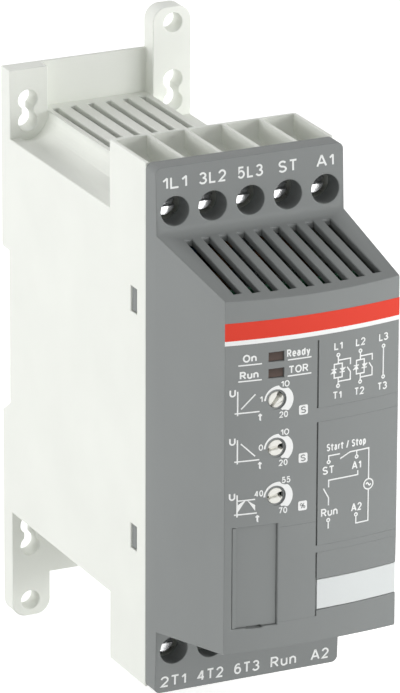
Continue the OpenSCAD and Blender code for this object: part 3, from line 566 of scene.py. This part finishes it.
def moulded_copy(part, radius):
    """A piece that stands for a node: its flat faces are joined, and its outer edges get a radius."""
    name = part["node"]
    node = frame["nodes"][name]
    (body,) = body_of(node)
    mould = bmesh.new()
    mould.from_mesh(node.data)
    bmesh.ops.remove_doubles(mould, verts=mould.verts, dist=WELD)
    bmesh.ops.dissolve_limit(mould, angle_limit=FLAT_ANGLE, verts=mould.verts, edges=mould.edges)
    sharp = [edge for edge in mould.edges if edge.is_convex and edge.calc_face_angle() > SHARP_ANGLE]
    if name in KNOBS:
        shape_knob(mould, name)
    if name in SCREWS:
        dish_head(mould, front_place(name))
    if name == "front_cover":
        sharp = [edge for edge in sharp if not in_well(edge) and not in_break(edge)]
        add_seats(mould)
    roomy = [edge for edge in sharp if all(has_room(edge, face, radius * MM) for face in edge.link_faces)]
    bmesh.ops.bevel(
        mould, geom=roomy, offset=radius * MM, offset_type="OFFSET", segments=3, profile=0.5,
        affect="EDGES", clamp_overlap=False,
    )
    mesh = bpy.data.meshes.new(name + "_moulded")
    mould.to_mesh(mesh)
    mould.free()
    mesh.shade_smooth()
    mesh.set_sharp_from_angle(angle=SHARP_ANGLE)
    mesh.materials.append(finishes[part["material_slot"]])
    piece = bpy.data.objects.new(name + "_moulded", mesh)
    bpy.context.scene.collection.objects.link(piece)
    faces = piece.modifiers.new("face normals", "WEIGHTED_NORMAL")
    faces.keep_sharp = True
    true_bow(piece)
    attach(piece, body)
    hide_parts(name)


def true_bow(piece):
    """Shades the bowed faces of a piece as one smooth curve, and keeps its other face normals."""
    shaded = piece.evaluated_get(bpy.context.evaluated_depsgraph_get()).data
    normals = [corner.vector.copy() for corner in shaded.corner_normals]
    piece.modifiers.clear()
    mesh = piece.data
    bowed = set()
    for face in mesh.polygons:
        in_front = -face.center.y / MM > FRONT_D - 2 * FRONT_BOW
        if in_front and bow_normal(face.center).angle(face.normal) < BOW_ANGLE:
            bowed.update(face.vertices)
    for face in mesh.polygons:
        for corner, vert in zip(face.loop_indices, face.vertices):
            curve = bow_normal(mesh.vertices[vert].co)
            if vert in bowed and curve.angle(face.normal) < SHARP_ANGLE:
                normals[corner] = curve
    mesh.normals_split_custom_set(normals)


def wound_springs():
    """Springs of the rail latch, as a copy of their node that moves with the latch."""
    name = "latch_springs"
    springs = bpy.data.objects.new(name + "_wound", frame["nodes"][name].data.copy())
    bpy.context.scene.collection.objects.link(springs)
    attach(springs, "rail_latch")
    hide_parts(name)
    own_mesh(springs)


for part in frame["record"]["subparts"]:
    node = frame["nodes"][part["node"]]
    node.data.materials.clear()
    node.data.materials.append(finishes[part["material_slot"]])
    if part["node"] in EDGE_RADII:
        moulded_copy(part, EDGE_RADII[part["node"]])
wound_springs()


def oval(u, v, half_w, half_h):
    """A closed oval line."""
    points = arc((u, v), (half_w, half_h), 0, 345, 24)
    return points + points[:1]


# Letters: width, and strokes in a box one wide and one capital high
MID = SMALL_HEIGHT / 2
GLYPHS = {
    " ": (0.02, []),
    "/": (0.32, [[(0.0, -0.06), (1.0, 1.06)]]),
    "%": (0.8, [[(0.2, 0.0), (0.8, 1.0)], oval(0.2, 0.75, 0.2, 0.25), oval(0.8, 0.25, 0.2, 0.25)]),
    "0": (0.42, [oval(0.5, 0.5, 0.5, 0.5)]),
    "1": (0.2, [[(1.0, 0.0), (1.0, 1.0)], [(0.0, 0.7), (1.0, 0.98)]]),
    "2": (0.42, [arc((0.5, 0.7), (0.5, 0.3), 170, -35, 10) + [(0.0, 0.0), (1.0, 0.0)]]),
    "3": (0.42, [
        arc((0.46, 0.76), (0.46, 0.24), 160, -90, 10), arc((0.46, 0.26), (0.54, 0.26), 90, -162, 12)
    ]),
    "4": (0.46, [[(0.76, 0.0), (0.76, 1.0)], [(0.7, 1.0), (0.06, 0.28), (1.0, 0.28)]]),
    "5": (0.42, [[(0.92, 1.0), (0.16, 1.0), (0.06, 0.5)] + arc((0.48, 0.33), (0.52, 0.33), 135, -155, 12)]),
    "6": (0.42, [arc((0.55, 0.5), (0.55, 0.5), 55, 180, 8) + [(0.0, 0.31)], oval(0.5, 0.31, 0.5, 0.31)]),
    "7": (0.42, [[(0.0, 1.0), (1.0, 1.0), (0.36, 0.0)]]),
    "A": (0.58, [[(0.0, 0.0), (0.46, 1.0), (0.54, 1.0), (1.0, 0.0)], [(0.18, 0.32), (0.82, 0.32)]]),
    "L": (0.38, [[(0.0, 1.0), (0.0, 0.0), (1.0, 0.0)]]),
    "O": (0.54, [oval(0.5, 0.5, 0.5, 0.5)]),
    "R": (0.46, [
        [(0.0, 0.0), (0.0, 1.0)] + arc((0.52, 0.74), (0.42, 0.26), 90, -90, 9) + [(0.0, 0.48)],
        [(0.46, 0.48), (1.0, 0.0)],
    ]),
    "S": (0.46, [arc((0.5, 0.75), (0.46, 0.25), 25, 270, 12) + arc((0.5, 0.25), (0.5, 0.25), 80, -155, 12)]),
    "T": (0.46, [[(0.0, 1.0), (1.0, 1.0)], [(0.5, 1.0), (0.5, 0.0)]]),
    "U": (0.46, [[(0.0, 1.0)] + arc((0.5, 0.36), (0.5, 0.36), 180, 360, 12) + [(1.0, 1.0)]]),
    "a": (0.36, [
        arc((0.46, 0.5), (0.42, SMALL_HEIGHT - 0.5), 155, 0, 8) + [(0.88, 0.0)],
        [(0.88, 0.43), (0.42, 0.43)] + arc((0.42, 0.215), (0.42, 0.215), 90, 270, 8) + [(0.88, 0.08)],
    ]),
    "d": (0.38, [oval(0.46, MID, 0.46, MID), [(1.0, 1.0), (1.0, 0.0)]]),
    "e": (0.38, [[(0.0, MID), (1.0, MID)] + arc((0.5, MID), (0.5, MID), 12, 315, 14)]),
    "n": (0.36, [
        [(0.0, 0.0), (0.0, SMALL_HEIGHT)],
        arc((0.5, 0.44), (0.5, SMALL_HEIGHT - 0.44), 170, 0, 9) + [(1.0, 0.0)],
    ]),
    "o": (0.4, [oval(0.5, MID, 0.5, MID)]),
    "p": (0.38, [[(0.0, SMALL_HEIGHT), (0.0, DESCENT)], oval(0.54, MID, 0.46, MID)]),
    "r": (0.2, [[(0.0, 0.0), (0.0, SMALL_HEIGHT)], arc((1.0, 0.4), (1.0, SMALL_HEIGHT - 0.4), 170, 85, 6)]),
    "t": (0.26, [
        [(0.42, 1.0)] + arc((0.82, 0.16), (0.4, 0.16), 180, 270, 5) + [(1.0, 0.0)],
        [(-0.6, SMALL_HEIGHT), (1.5, SMALL_HEIGHT)],
    ]),
    "u": (0.36, [
        [(0.0, SMALL_HEIGHT)] + arc((0.5, 0.3), (0.5, 0.3), 180, 350, 9), [(1.0, SMALL_HEIGHT), (1.0, 0.0)]
    ]),
    "y": (0.38, [[(0.0, SMALL_HEIGHT), (0.5, 0.02)], [(1.0, SMALL_HEIGHT), (0.4, -0.2), (0.1, DESCENT)]]),
}


class Print:
    """A thin printed layer on a face of the cover, gathered from strips, filled shapes and letters."""

    def __init__(self, name, lay, ink, slot, lift=INK_LIFT):
        self.name = name
        self.lay = lay
        self.ink = ink
        self.slot = slot
        self.lift = lift
        self.shapes = 0
        self.mesh = bmesh.new()

    def row(self, points):
        """The same points on the layer's top and on its sunk underside."""
        lift = self.lift + INK_LAYER * (self.shapes % INK_LAYERS)
        top = [self.mesh.verts.new(self.lay(x, z, lift)) for x, z in points]
        under = [self.mesh.verts.new(self.lay(x, z, -INK_SINK)) for x, z in points]
        return top, under

    def strip(self, left, right, closed=False):
        """A solid between two rails of points."""
        self.shapes += 1
        left_top, left_under = self.row(left)
        right_top, right_under = self.row(right)
        count = len(left)
        last = count if closed else count - 1
        sides = (left_top, right_top, right_under, left_under)
        for i in range(last):
            j = (i + 1) % count
            for a, b in zip(sides, sides[1:] + sides[:1]):
                self.mesh.faces.new((a[i], b[i], b[j], a[j]))
        if not closed:
            for i in (0, count - 1):
                self.mesh.faces.new([side[i] for side in sides])

    def fill(self, outline):
        """A filled shape with straight sides."""
        self.shapes += 1
        top, under = self.row(outline)
        self.mesh.faces.new(top)
        self.mesh.faces.new(reversed(under))
        for i in range(len(top)):
            j = (i + 1) % len(top)
            self.mesh.faces.new((top[i], top[j], under[j], under[i]))

    def stroke(self, points, width=LINE_W):
        """A line of even width with mitred corners, closed where it ends at its first point."""
        closed = points[0] == points[-1]
        path = short_steps([Vector(point) for point in points])
        if closed:
            path.pop()
        count = len(path)
        left = []
        right = []
        for i, here in enumerate(path):
            before = path[i - 1] if closed or i > 0 else None
            after = path[(i + 1) % count] if closed or i < count - 1 else None
            side = mitre(before, here, after) * (width / 2)
            left.append(here + side)
            right.append(here - side)
        self.strip(left, right, closed)

    def ring(self, x, z, radius, width=FINE_W):
        """A round outline."""
        self.stroke(oval(x, z, radius, radius), width)

    def word(self, text, x, z, height, width, weight=LETTER_WEIGHT, gap=LETTER_GAP):
        """Even-stroked letters around a sideways place, on a line, with a capital height and a width.

        The weight of the strokes and the gap between letters are shares of the height.
        """
        weight *= height
        gap *= height
        shares = sum(GLYPHS[letter][0] for letter in text)
        unit = (width - len(text) * weight - (len(text) - 1) * gap) / shares
        left = x - width / 2 + weight / 2
        for letter in text:
            share, strokes = GLYPHS[letter]
            for line in strokes:
                points = [
                    (left + u * share * unit, z + weight / 2 + v * (height - weight)) for u, v in line
                ]
                self.stroke(points, weight)
            left += share * unit + weight + gap

    def finish(self):
        """Makes the piece, which rides on the housing."""
        bmesh.ops.recalc_face_normals(self.mesh, faces=self.mesh.faces)
        mesh = bpy.data.meshes.new(self.name)
        self.mesh.to_mesh(mesh)
        self.mesh.free()
        mesh.materials.append(self.ink)
        piece = bpy.data.objects.new(self.name, mesh)
        bpy.context.scene.collection.objects.link(piece)
        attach(piece, "housing")


def short_steps(path):
    """The path with points added where two lie further apart than a step."""
    fine = []
    for a, b in zip(path, path[1:]):
        pieces = max(1, math.ceil((b - a).length / STEP))
        fine += [a.lerp(b, i / pieces) for i in range(pieces)]
    return fine + [path[-1]]


def mitre(before, here, after):
    """Sideways direction of a line at a point, made longer at a corner."""
    ways = [(b - a).normalized() for a, b in ((before, here), (here, after)) if a and b]
    along = sum(ways, Vector((0, 0))).normalized()
    side = Vector((-along.y, along.x))
    square = Vector((-ways[0].y, ways[0].x))
    return side / max(0.5, side.dot(square))


def moved(points, x, z):
    """Points drawn around the origin, moved to a place."""
    return [(x + a, z + b) for a, b in points]


def colour_band():
    """Red band with a white line under it, across the whole front."""
    top, border, bottom = 35.3, 31.3, 30.3
    steps = 40
    places = [FRONT_HALF_W * (2 * i / steps - 1) for i in range(steps + 1)]
    for name, ink, high, low in (
        ("red_band", red_ink, top, border), ("white_line", white_ink, border, bottom)
    ):
        layer = Print(name, on_front, ink, "marker_white")
        layer.strip([(x, high) for x in places], [(x, low) for x in places])
        layer.finish()


def oval_entry(way, centre, radii):
    """Distance along a direction from the origin to an oval ahead, or a large one where it passes by."""
    way = Vector((way[0] / radii[0], way[1] / radii[1]))
    centre = Vector((centre[0] / radii[0], centre[1] / radii[1]))
    along = way.dot(centre) / way.length_squared
    under_root = along ** 2 - (centre.length_squared - 1) / way.length_squared
    return along - math.sqrt(under_root) if under_root > 0 and along > 0 else math.inf


# Numbers of a dial: their middles from the knob, how far the third dial's differ, and their size
FIRST_NUMBER = Vector((-3.4, 0.5))
MIDDLE_NUMBER = Vector((2.0, 3.4))
LAST_NUMBER = Vector((1.7, -3.5))
THIRD_FIRST = Vector((0.1, 0.5))
THIRD_MIDDLE = Vector((0.4, 0.0))
NUMBER_H = 1.45
DIGIT_W = 1.0
ONE_NARROWER = 0.35
# Crescent of a dial: its inner radius, and the circle that bounds it outside
CRESCENT_INNER = 2.35
CRESCENT_CENTRE = Vector((0.6, -0.2))
CRESCENT_OUTER = 3.35
# Graph and unit of a dial: their places from the knob, the axes' lengths, and half the rise of a ramp
UNIT_PLACE = Vector((6.3, -3.1))
GRAPH_X = -8.6
GRAPH_Z = -2.2
THIRD_GRAPH_Z = -3.35
AXIS_TALL = 4.95
AXIS_WIDE = 4.85
RAMP_SPAN = (0.75, 3.9)
RAMP_MIDDLE = 0.25
RAMP_RISE = 1.55
# Height of the capitals of the status and phase words
WORD_H = 1.75


def dial_scale(ink, x, z, words, numbers):
    """Crescent that widens clockwise around a knob, cut away around its numbers."""
    halo = (1.4, 1.05)
    first, last, steps = 180.0, -62.0, 80
    rails = [], []
    for i in range(steps):
        turn = math.radians(first + (last - first) * i / (steps - 1))
        way = Vector((math.cos(turn), math.sin(turn)))
        along = way.dot(CRESCENT_CENTRE)
        bound = along + math.sqrt(along ** 2 + CRESCENT_OUTER ** 2 - CRESCENT_CENTRE.length_squared)
        bound = min([bound] + [oval_entry(way, number, halo) for number in numbers[1:]])
        for rail, radius in zip(rails, (CRESCENT_INNER, max(bound, CRESCENT_INNER + INK_LIFT))):
            rail.append((x + radius * way.x, z + radius * way.y))
    ink.strip(*rails)
    for word, number in zip(words, numbers):
        outward = 0.5 * DIGIT_W * (len(word) - 1) if word is words[0] else 0
        width = DIGIT_W * len(word) - (ONE_NARROWER if word == "1" else 0)
        ink.word(word, x + number.x - outward, z + number.y - NUMBER_H / 2, NUMBER_H, width)


def graph_axes(ink, x, z, tall, wide):
    """Upright and level axis of a small graph, with its two letters."""
    foot, heel = 0.55, 0.65
    ink.stroke([(x, z + tall), (x, z - foot)])
    ink.stroke([(x - heel, z), (x + wide, z)])
    ink.word("U", x - 1.1, z + tall - 1.15, WORD_H, 1.4, weight=0.2)
    ink.word("t", x + wide + 0.15, z - 2.15, 1.8, 0.75, weight=0.2)


def dials():
    """Scales, graphs and units of the three adjusters."""
    ink = Print("dial_print", on_front, white_ink, "marker_white")
    letter = Print("unit_letters", on_front, grey_ink, "dark_plastic", lift=3 * INK_LIFT)
    scales = {1: ("1", "10", "20"), 2: ("0", "10", "20"), 3: ("40", "55", "70")}
    units = {1: "S", 2: "S", 3: "%"}
    for i, words in scales.items():
        x, z = WELLS[i - 1]
        numbers = [FIRST_NUMBER, MIDDLE_NUMBER, LAST_NUMBER]
        if i == 3:
            numbers = [FIRST_NUMBER + THIRD_FIRST, MIDDLE_NUMBER + THIRD_MIDDLE, LAST_NUMBER]
        dial_scale(ink, x, z, words, numbers)
        unit_box(ink, letter, x + UNIT_PLACE.x, z + UNIT_PLACE.y, units[i])
        axis_x = x + GRAPH_X
        if i == 3:
            start_voltage_graph(ink, axis_x, z + THIRD_GRAPH_Z)
            continue
        graph_axes(ink, axis_x, z + GRAPH_Z, AXIS_TALL, AXIS_WIDE)
        rise = RAMP_RISE if i == 1 else -RAMP_RISE
        middle = z + RAMP_MIDDLE
        ink.stroke([(axis_x + RAMP_SPAN[0], middle - rise), (axis_x + RAMP_SPAN[1], middle + rise)])
    ink.finish()
    letter.finish()


def start_voltage_graph(ink, x, z):
    """Graph of the third adjuster: two ramps that fall to both sides under a level line."""
    peak_x, peak_z = x + 2.05, z + 3.15
    side_x = x + 4.0
    graph_axes(ink, x, z, 4.5, 4.4)
    ink.stroke([(x + 0.2, peak_z), (side_x, peak_z)], FINE_W)
    ink.fill([(x, z + 0.35), (peak_x - 0.15, peak_z), (peak_x - 1.05, peak_z - 0.4), (x, z + 2.1)])
    ink.fill([(peak_x + 0.15, peak_z), (side_x, z + 0.5), (side_x, z + 1.85), (side_x - 0.4, z + 2.1)])


def unit_box(ink, letter, x, z, unit):
    """White rounded box with a grey letter."""
    half_w, half_h, corner = 1.04, 1.08, 0.34
    outline = []
    for quarter, (a, b) in enumerate(((1, 1), (-1, 1), (-1, -1), (1, -1))):
        middle = (x + a * (half_w - corner), z + b * (half_h - corner))
        outline += arc(middle, (corner, corner), 90 * quarter, 90 * quarter + 90, 4)
    ink.fill(outline)
    if unit == "%":
        letter.word(unit, x, z - 0.6, 1.2, 1.2, weight=0.1)
    else:
        letter.word(unit, x, z - 0.76, 1.52, 1.2, weight=0.15)


def status_words():
    """Words and lines beside the two status windows."""
    ink = Print("status_print", on_front, white_ink, "marker_white")
    for word, x, base, width, line in (("On", -15.3, 26.25, 3.05, 25.65), ("Run", -15.4, 22.5, 4.15, 22.05)):
        ink.word(word, x, base, WORD_H, width, weight=0.2)
        ink.stroke([(-17.8, line), (-12.6, line)], FINE_W)
    for word, x, base, width, line in (("Ready", -4.25, 26.35, 5.4, 25.75), ("TOR", -4.25, 22.6, 4.6, 22.1)):
        ink.word(word, x, base, WORD_H, width, weight=0.175)
        ink.stroke([(-6.75, line), (-1.25, line)], FINE_W)
    ink.finish()


def thyristor(ink, x, z, way):
    """Filled arrow with a bar and a gate line, pointing up or down."""
    ink.fill([(x - 0.58, z - 0.5 * way), (x + 0.58, z - 0.5 * way), (x, z + 0.5 * way)])
    ink.stroke([(x - 0.64, z + 0.4 * way), (x + 0.64, z + 0.4 * way)], 0.26)
    ink.stroke([(x - 0.25 * way, z), (x - 0.8 * way, z - 0.55 * way)], 0.22)


TERMINAL_RING = 0.34


def phase_diagram():
    """Two phases with thyristors and a bypass contact, and one that runs straight through."""
    ink = Print("phase_print", on_front, white_ink, "marker_white")
    upper_words, lower_words = 26.3, 15.15
    top, bottom, radius = 25.1, 18.1, TERMINAL_RING
    box_top, box_bottom, box_half = 23.1, 20.0, 0.98
    bypass_top, bypass_bottom, bypass = 23.9, 19.1, 3.0
    contact_top, contact_tip, contact_foot = 22.5, 22.05, 20.85
    for i, x in enumerate((5.22, 10.7, 16.6), start=1):
        width = 2.05 if i == 1 else 2.4
        ink.word(f"L{i}", x, upper_words, WORD_H, width)
        ink.word(f"T{i}", x - 0.2, lower_words, WORD_H, width + 0.1)
        ink.ring(x, top, radius)
        ink.ring(x, bottom, radius)
        if i == 3:
            ink.stroke([(x, top - radius), (x, bottom + radius)], FINE_W)
            continue
        ink.stroke([(x, top - radius), (x, box_top)], FINE_W)
        ink.stroke([(x, box_bottom), (x, bottom + radius)], FINE_W)
        corners = [(-box_half, box_bottom), (box_half, box_bottom), (box_half, box_top), (-box_half, box_top)]
        ink.stroke(moved(corners + corners[:1], x, 0), FINE_W)
        middle = (box_top + box_bottom) / 2
        thyristor(ink, x - box_half, middle, 1)
        thyristor(ink, x + box_half, middle, -1)
        feed = [(0, bypass_top), (bypass, bypass_top), (bypass, contact_top)]
        contact = [(2.2, contact_tip), (bypass, contact_foot), (bypass, bypass_bottom), (0, bypass_bottom)]
        ink.stroke(moved(feed, x, 0), FINE_W)
        ink.stroke(moved(contact, x, 0), FINE_W)
    ink.finish()


def wiring_diagram():
    """Start and run contacts, the supply and the control terminals."""
    ink = Print("wiring_print", on_front, white_ink, "marker_white")
    start_x, feed_x, run_x, supply_x = 3.15, 10.06, 3.2, 13.15
    start_z, feed_z, run_z, return_z = 1.08, 1.1, -12.25, -12.2
    rail_z, tap_z, loop_z, radius = 2.5, -3.1, -14.2, TERMINAL_RING
    mark_h = 1.85
    ink.word("Start / Stop", 7.5, 3.55, 1.7, 9.75)
    ink.word("ST", 3.1, -1.7, mark_h, 2.9)
    ink.word("A1", 10.05, -1.75, mark_h, 2.35)
    ink.word("Run", 3.45, -11.35, mark_h, 4.05)
    ink.word("A2", 10.15, -11.4, mark_h, 2.7)
    for x, z in ((start_x, start_z), (feed_x, feed_z), (run_x, run_z), (feed_x, return_z)):
        ink.ring(x, z, radius)
    ink.stroke([(start_x, start_z + radius), (start_x, rail_z), (5.9, rail_z)], FINE_W)
    ink.stroke([(5.95, 1.4), (8.45, rail_z), (supply_x, rail_z), (supply_x, -4.6)], FINE_W)
    ink.stroke([(feed_x, rail_z), (feed_x, feed_z + radius)], FINE_W)
    ink.stroke([(10.41, -2.1), (10.41, tap_z), (run_x, tap_z), (run_x, -4.72)], FINE_W)
    ink.stroke([(1.95, -4.84), (run_x, -7.1), (run_x, -8.86)], FINE_W)
    ink.stroke([(run_x, run_z - radius), (run_x, loop_z)], FINE_W)
    ink.stroke([(feed_x, return_z - radius), (feed_x, loop_z), (supply_x, loop_z), (supply_x, -6.95)], FINE_W)
    supply = (supply_x, -5.78)
    ink.ring(*supply, 1.17, LINE_W)
    wave_half_w, wave_h, steps = 0.62, 0.32, 10
    turns = [i / steps for i in range(2 * steps + 1)]
    wave = [(wave_half_w * (turn - 1), wave_h * math.sin(math.pi * turn)) for turn in turns]
    ink.stroke(moved(wave, *supply), FINE_W)
    ink.finish()


def terminal_marks():
    """Standard marks over the upper terminals and under the lower ones."""
    rows = {
        "upper": (55.9, 2.7, (("1L1", 5.85), ("3L2", 6.4), ("5L3", 6.1), ("ST", 4.6), ("A1", 4.2))),
        "lower": (-59.45, 2.6, (("2T1", 6.2), ("4T2", 6.4), ("6T3", 6.2), ("Run", 6.3), ("A2", 4.45))),
    }
    for end, (base, height, marks) in rows.items():
        ink = Print(f"terminal_marks_{end}", on_terminals, white_ink, "marker_white")
        for i, (mark, width) in enumerate(marks):
            ink.word(mark, (i - 2) * POLE_PITCH, base, height, width, weight=0.155, gap=0.19)
        ink.finish()


colour_band()
dials()
status_words()
phase_diagram()
wiring_diagram()
terminal_marks()


def white_floor():
    """Pale floor under the object, which keeps its shadow."""
    low = cad_box[0][2]
    half = FLOOR_HALF
    mesh = bpy.data.meshes.new("floor")
    corners = [(-half, -half, low), (half, -half, low), (half, half, low), (-half, half, low)]
    mesh.from_pydata(corners, [], [(0, 1, 2, 3)])
    floor = bpy.data.objects.new("floor", mesh)
    bpy.context.scene.collection.objects.link(floor)
    finish = Finish("pale floor")
    grain = finish.noise(300.0)
    dull, light = (FLOOR_GREY * (1 + sign * FLOOR_MOTTLE) for sign in (-1, 1))
    pale = finish.tint(grain, (dull,) * 3, (light,) * 3)
    matte = finish.node("ShaderNodeBsdfDiffuse", {}, {"Color": pale})
    glow = finish.node("ShaderNodeEmission", {}, {"Strength": FLOOR_GLOW})
    bright = finish.node("ShaderNodeAddShader", {}, {0: matte, 1: glow})
    shown = finish.node("ShaderNodeMixShader", {}, {0: finish.seen(), 1: matte, 2: bright})
    finish.node("ShaderNodeOutputMaterial", {}, {"Surface": shown})
    mesh.materials.append(finish.material)


def soft_box(name, place, size, power):
    """Soft studio lamp that faces the object."""
    lamp = bpy.data.lights.new(name, "AREA")
    lamp.shape = "RECTANGLE"
    lamp.size, lamp.size_y = size
    lamp.energy = power
    holder = bpy.data.objects.new(name, lamp)
    bpy.context.scene.collection.objects.link(holder)
    middle = Vector((0.0, -FRONT_D / 2 * MM, 0.0))
    holder.location = place
    holder.rotation_euler = (middle - Vector(place)).to_track_quat("-Z", "Y").to_euler()


def studio_light():
    """Soft boxes around the object in a dim room, which is white to the eye."""
    for name, (place, size, power) in LAMPS.items():
        soft_box(name, place, size, power)
    world = bpy.data.worlds.new("white room")
    bpy.context.scene.world = world
    room = Nodes(world)
    white = (1.0, 1.0, 1.0, 1.0)
    dim, bright = (
        room.node("ShaderNodeBackground", {}, {"Color": white, "Strength": level})
        for level in (ROOM_LEVEL, SEEN_LEVEL)
    )
    shown = room.node("ShaderNodeMixShader", {}, {0: room.seen(), 1: dim, 2: bright})
    room.node("ShaderNodeOutputWorld", {}, {"Surface": shown})


def aim_camera():
    """Camera at the photograph's viewing angle."""
    azimuth, elevation, roll = (
        math.radians(angle) for angle in (CAMERA_AZIMUTH, CAMERA_ELEVATION, CAMERA_ROLL)
    )
    back = Vector((
        math.sin(azimuth) * math.cos(elevation), -math.cos(azimuth) * math.cos(elevation), math.sin(elevation)
    ))
    level = (-back).cross(Vector((0.0, 0.0, 1.0))).normalized()
    upright = level.cross(-back)
    right = math.cos(roll) * level + math.sin(roll) * upright
    up = math.cos(roll) * upright - math.sin(roll) * level
    lens = bpy.data.cameras.new("camera")
    lens.sensor_width = SENSOR
    lens.lens = FOCAL_PIXELS * SENSOR / IMAGE_H
    lens.clip_end = CAMERA_REACH
    camera = bpy.data.objects.new("camera", lens)
    bpy.context.scene.collection.objects.link(camera)
    turn = Matrix((right, up, back)).transposed().to_4x4()
    turn.translation = (Vector(CAMERA_AIM) + back * CAMERA_DISTANCE) * MM
    camera.matrix_world = turn
    bpy.context.scene.camera = camera


white_floor()
studio_light()
aim_camera()
bpy.context.scene.view_settings.view_transform = "Standard"
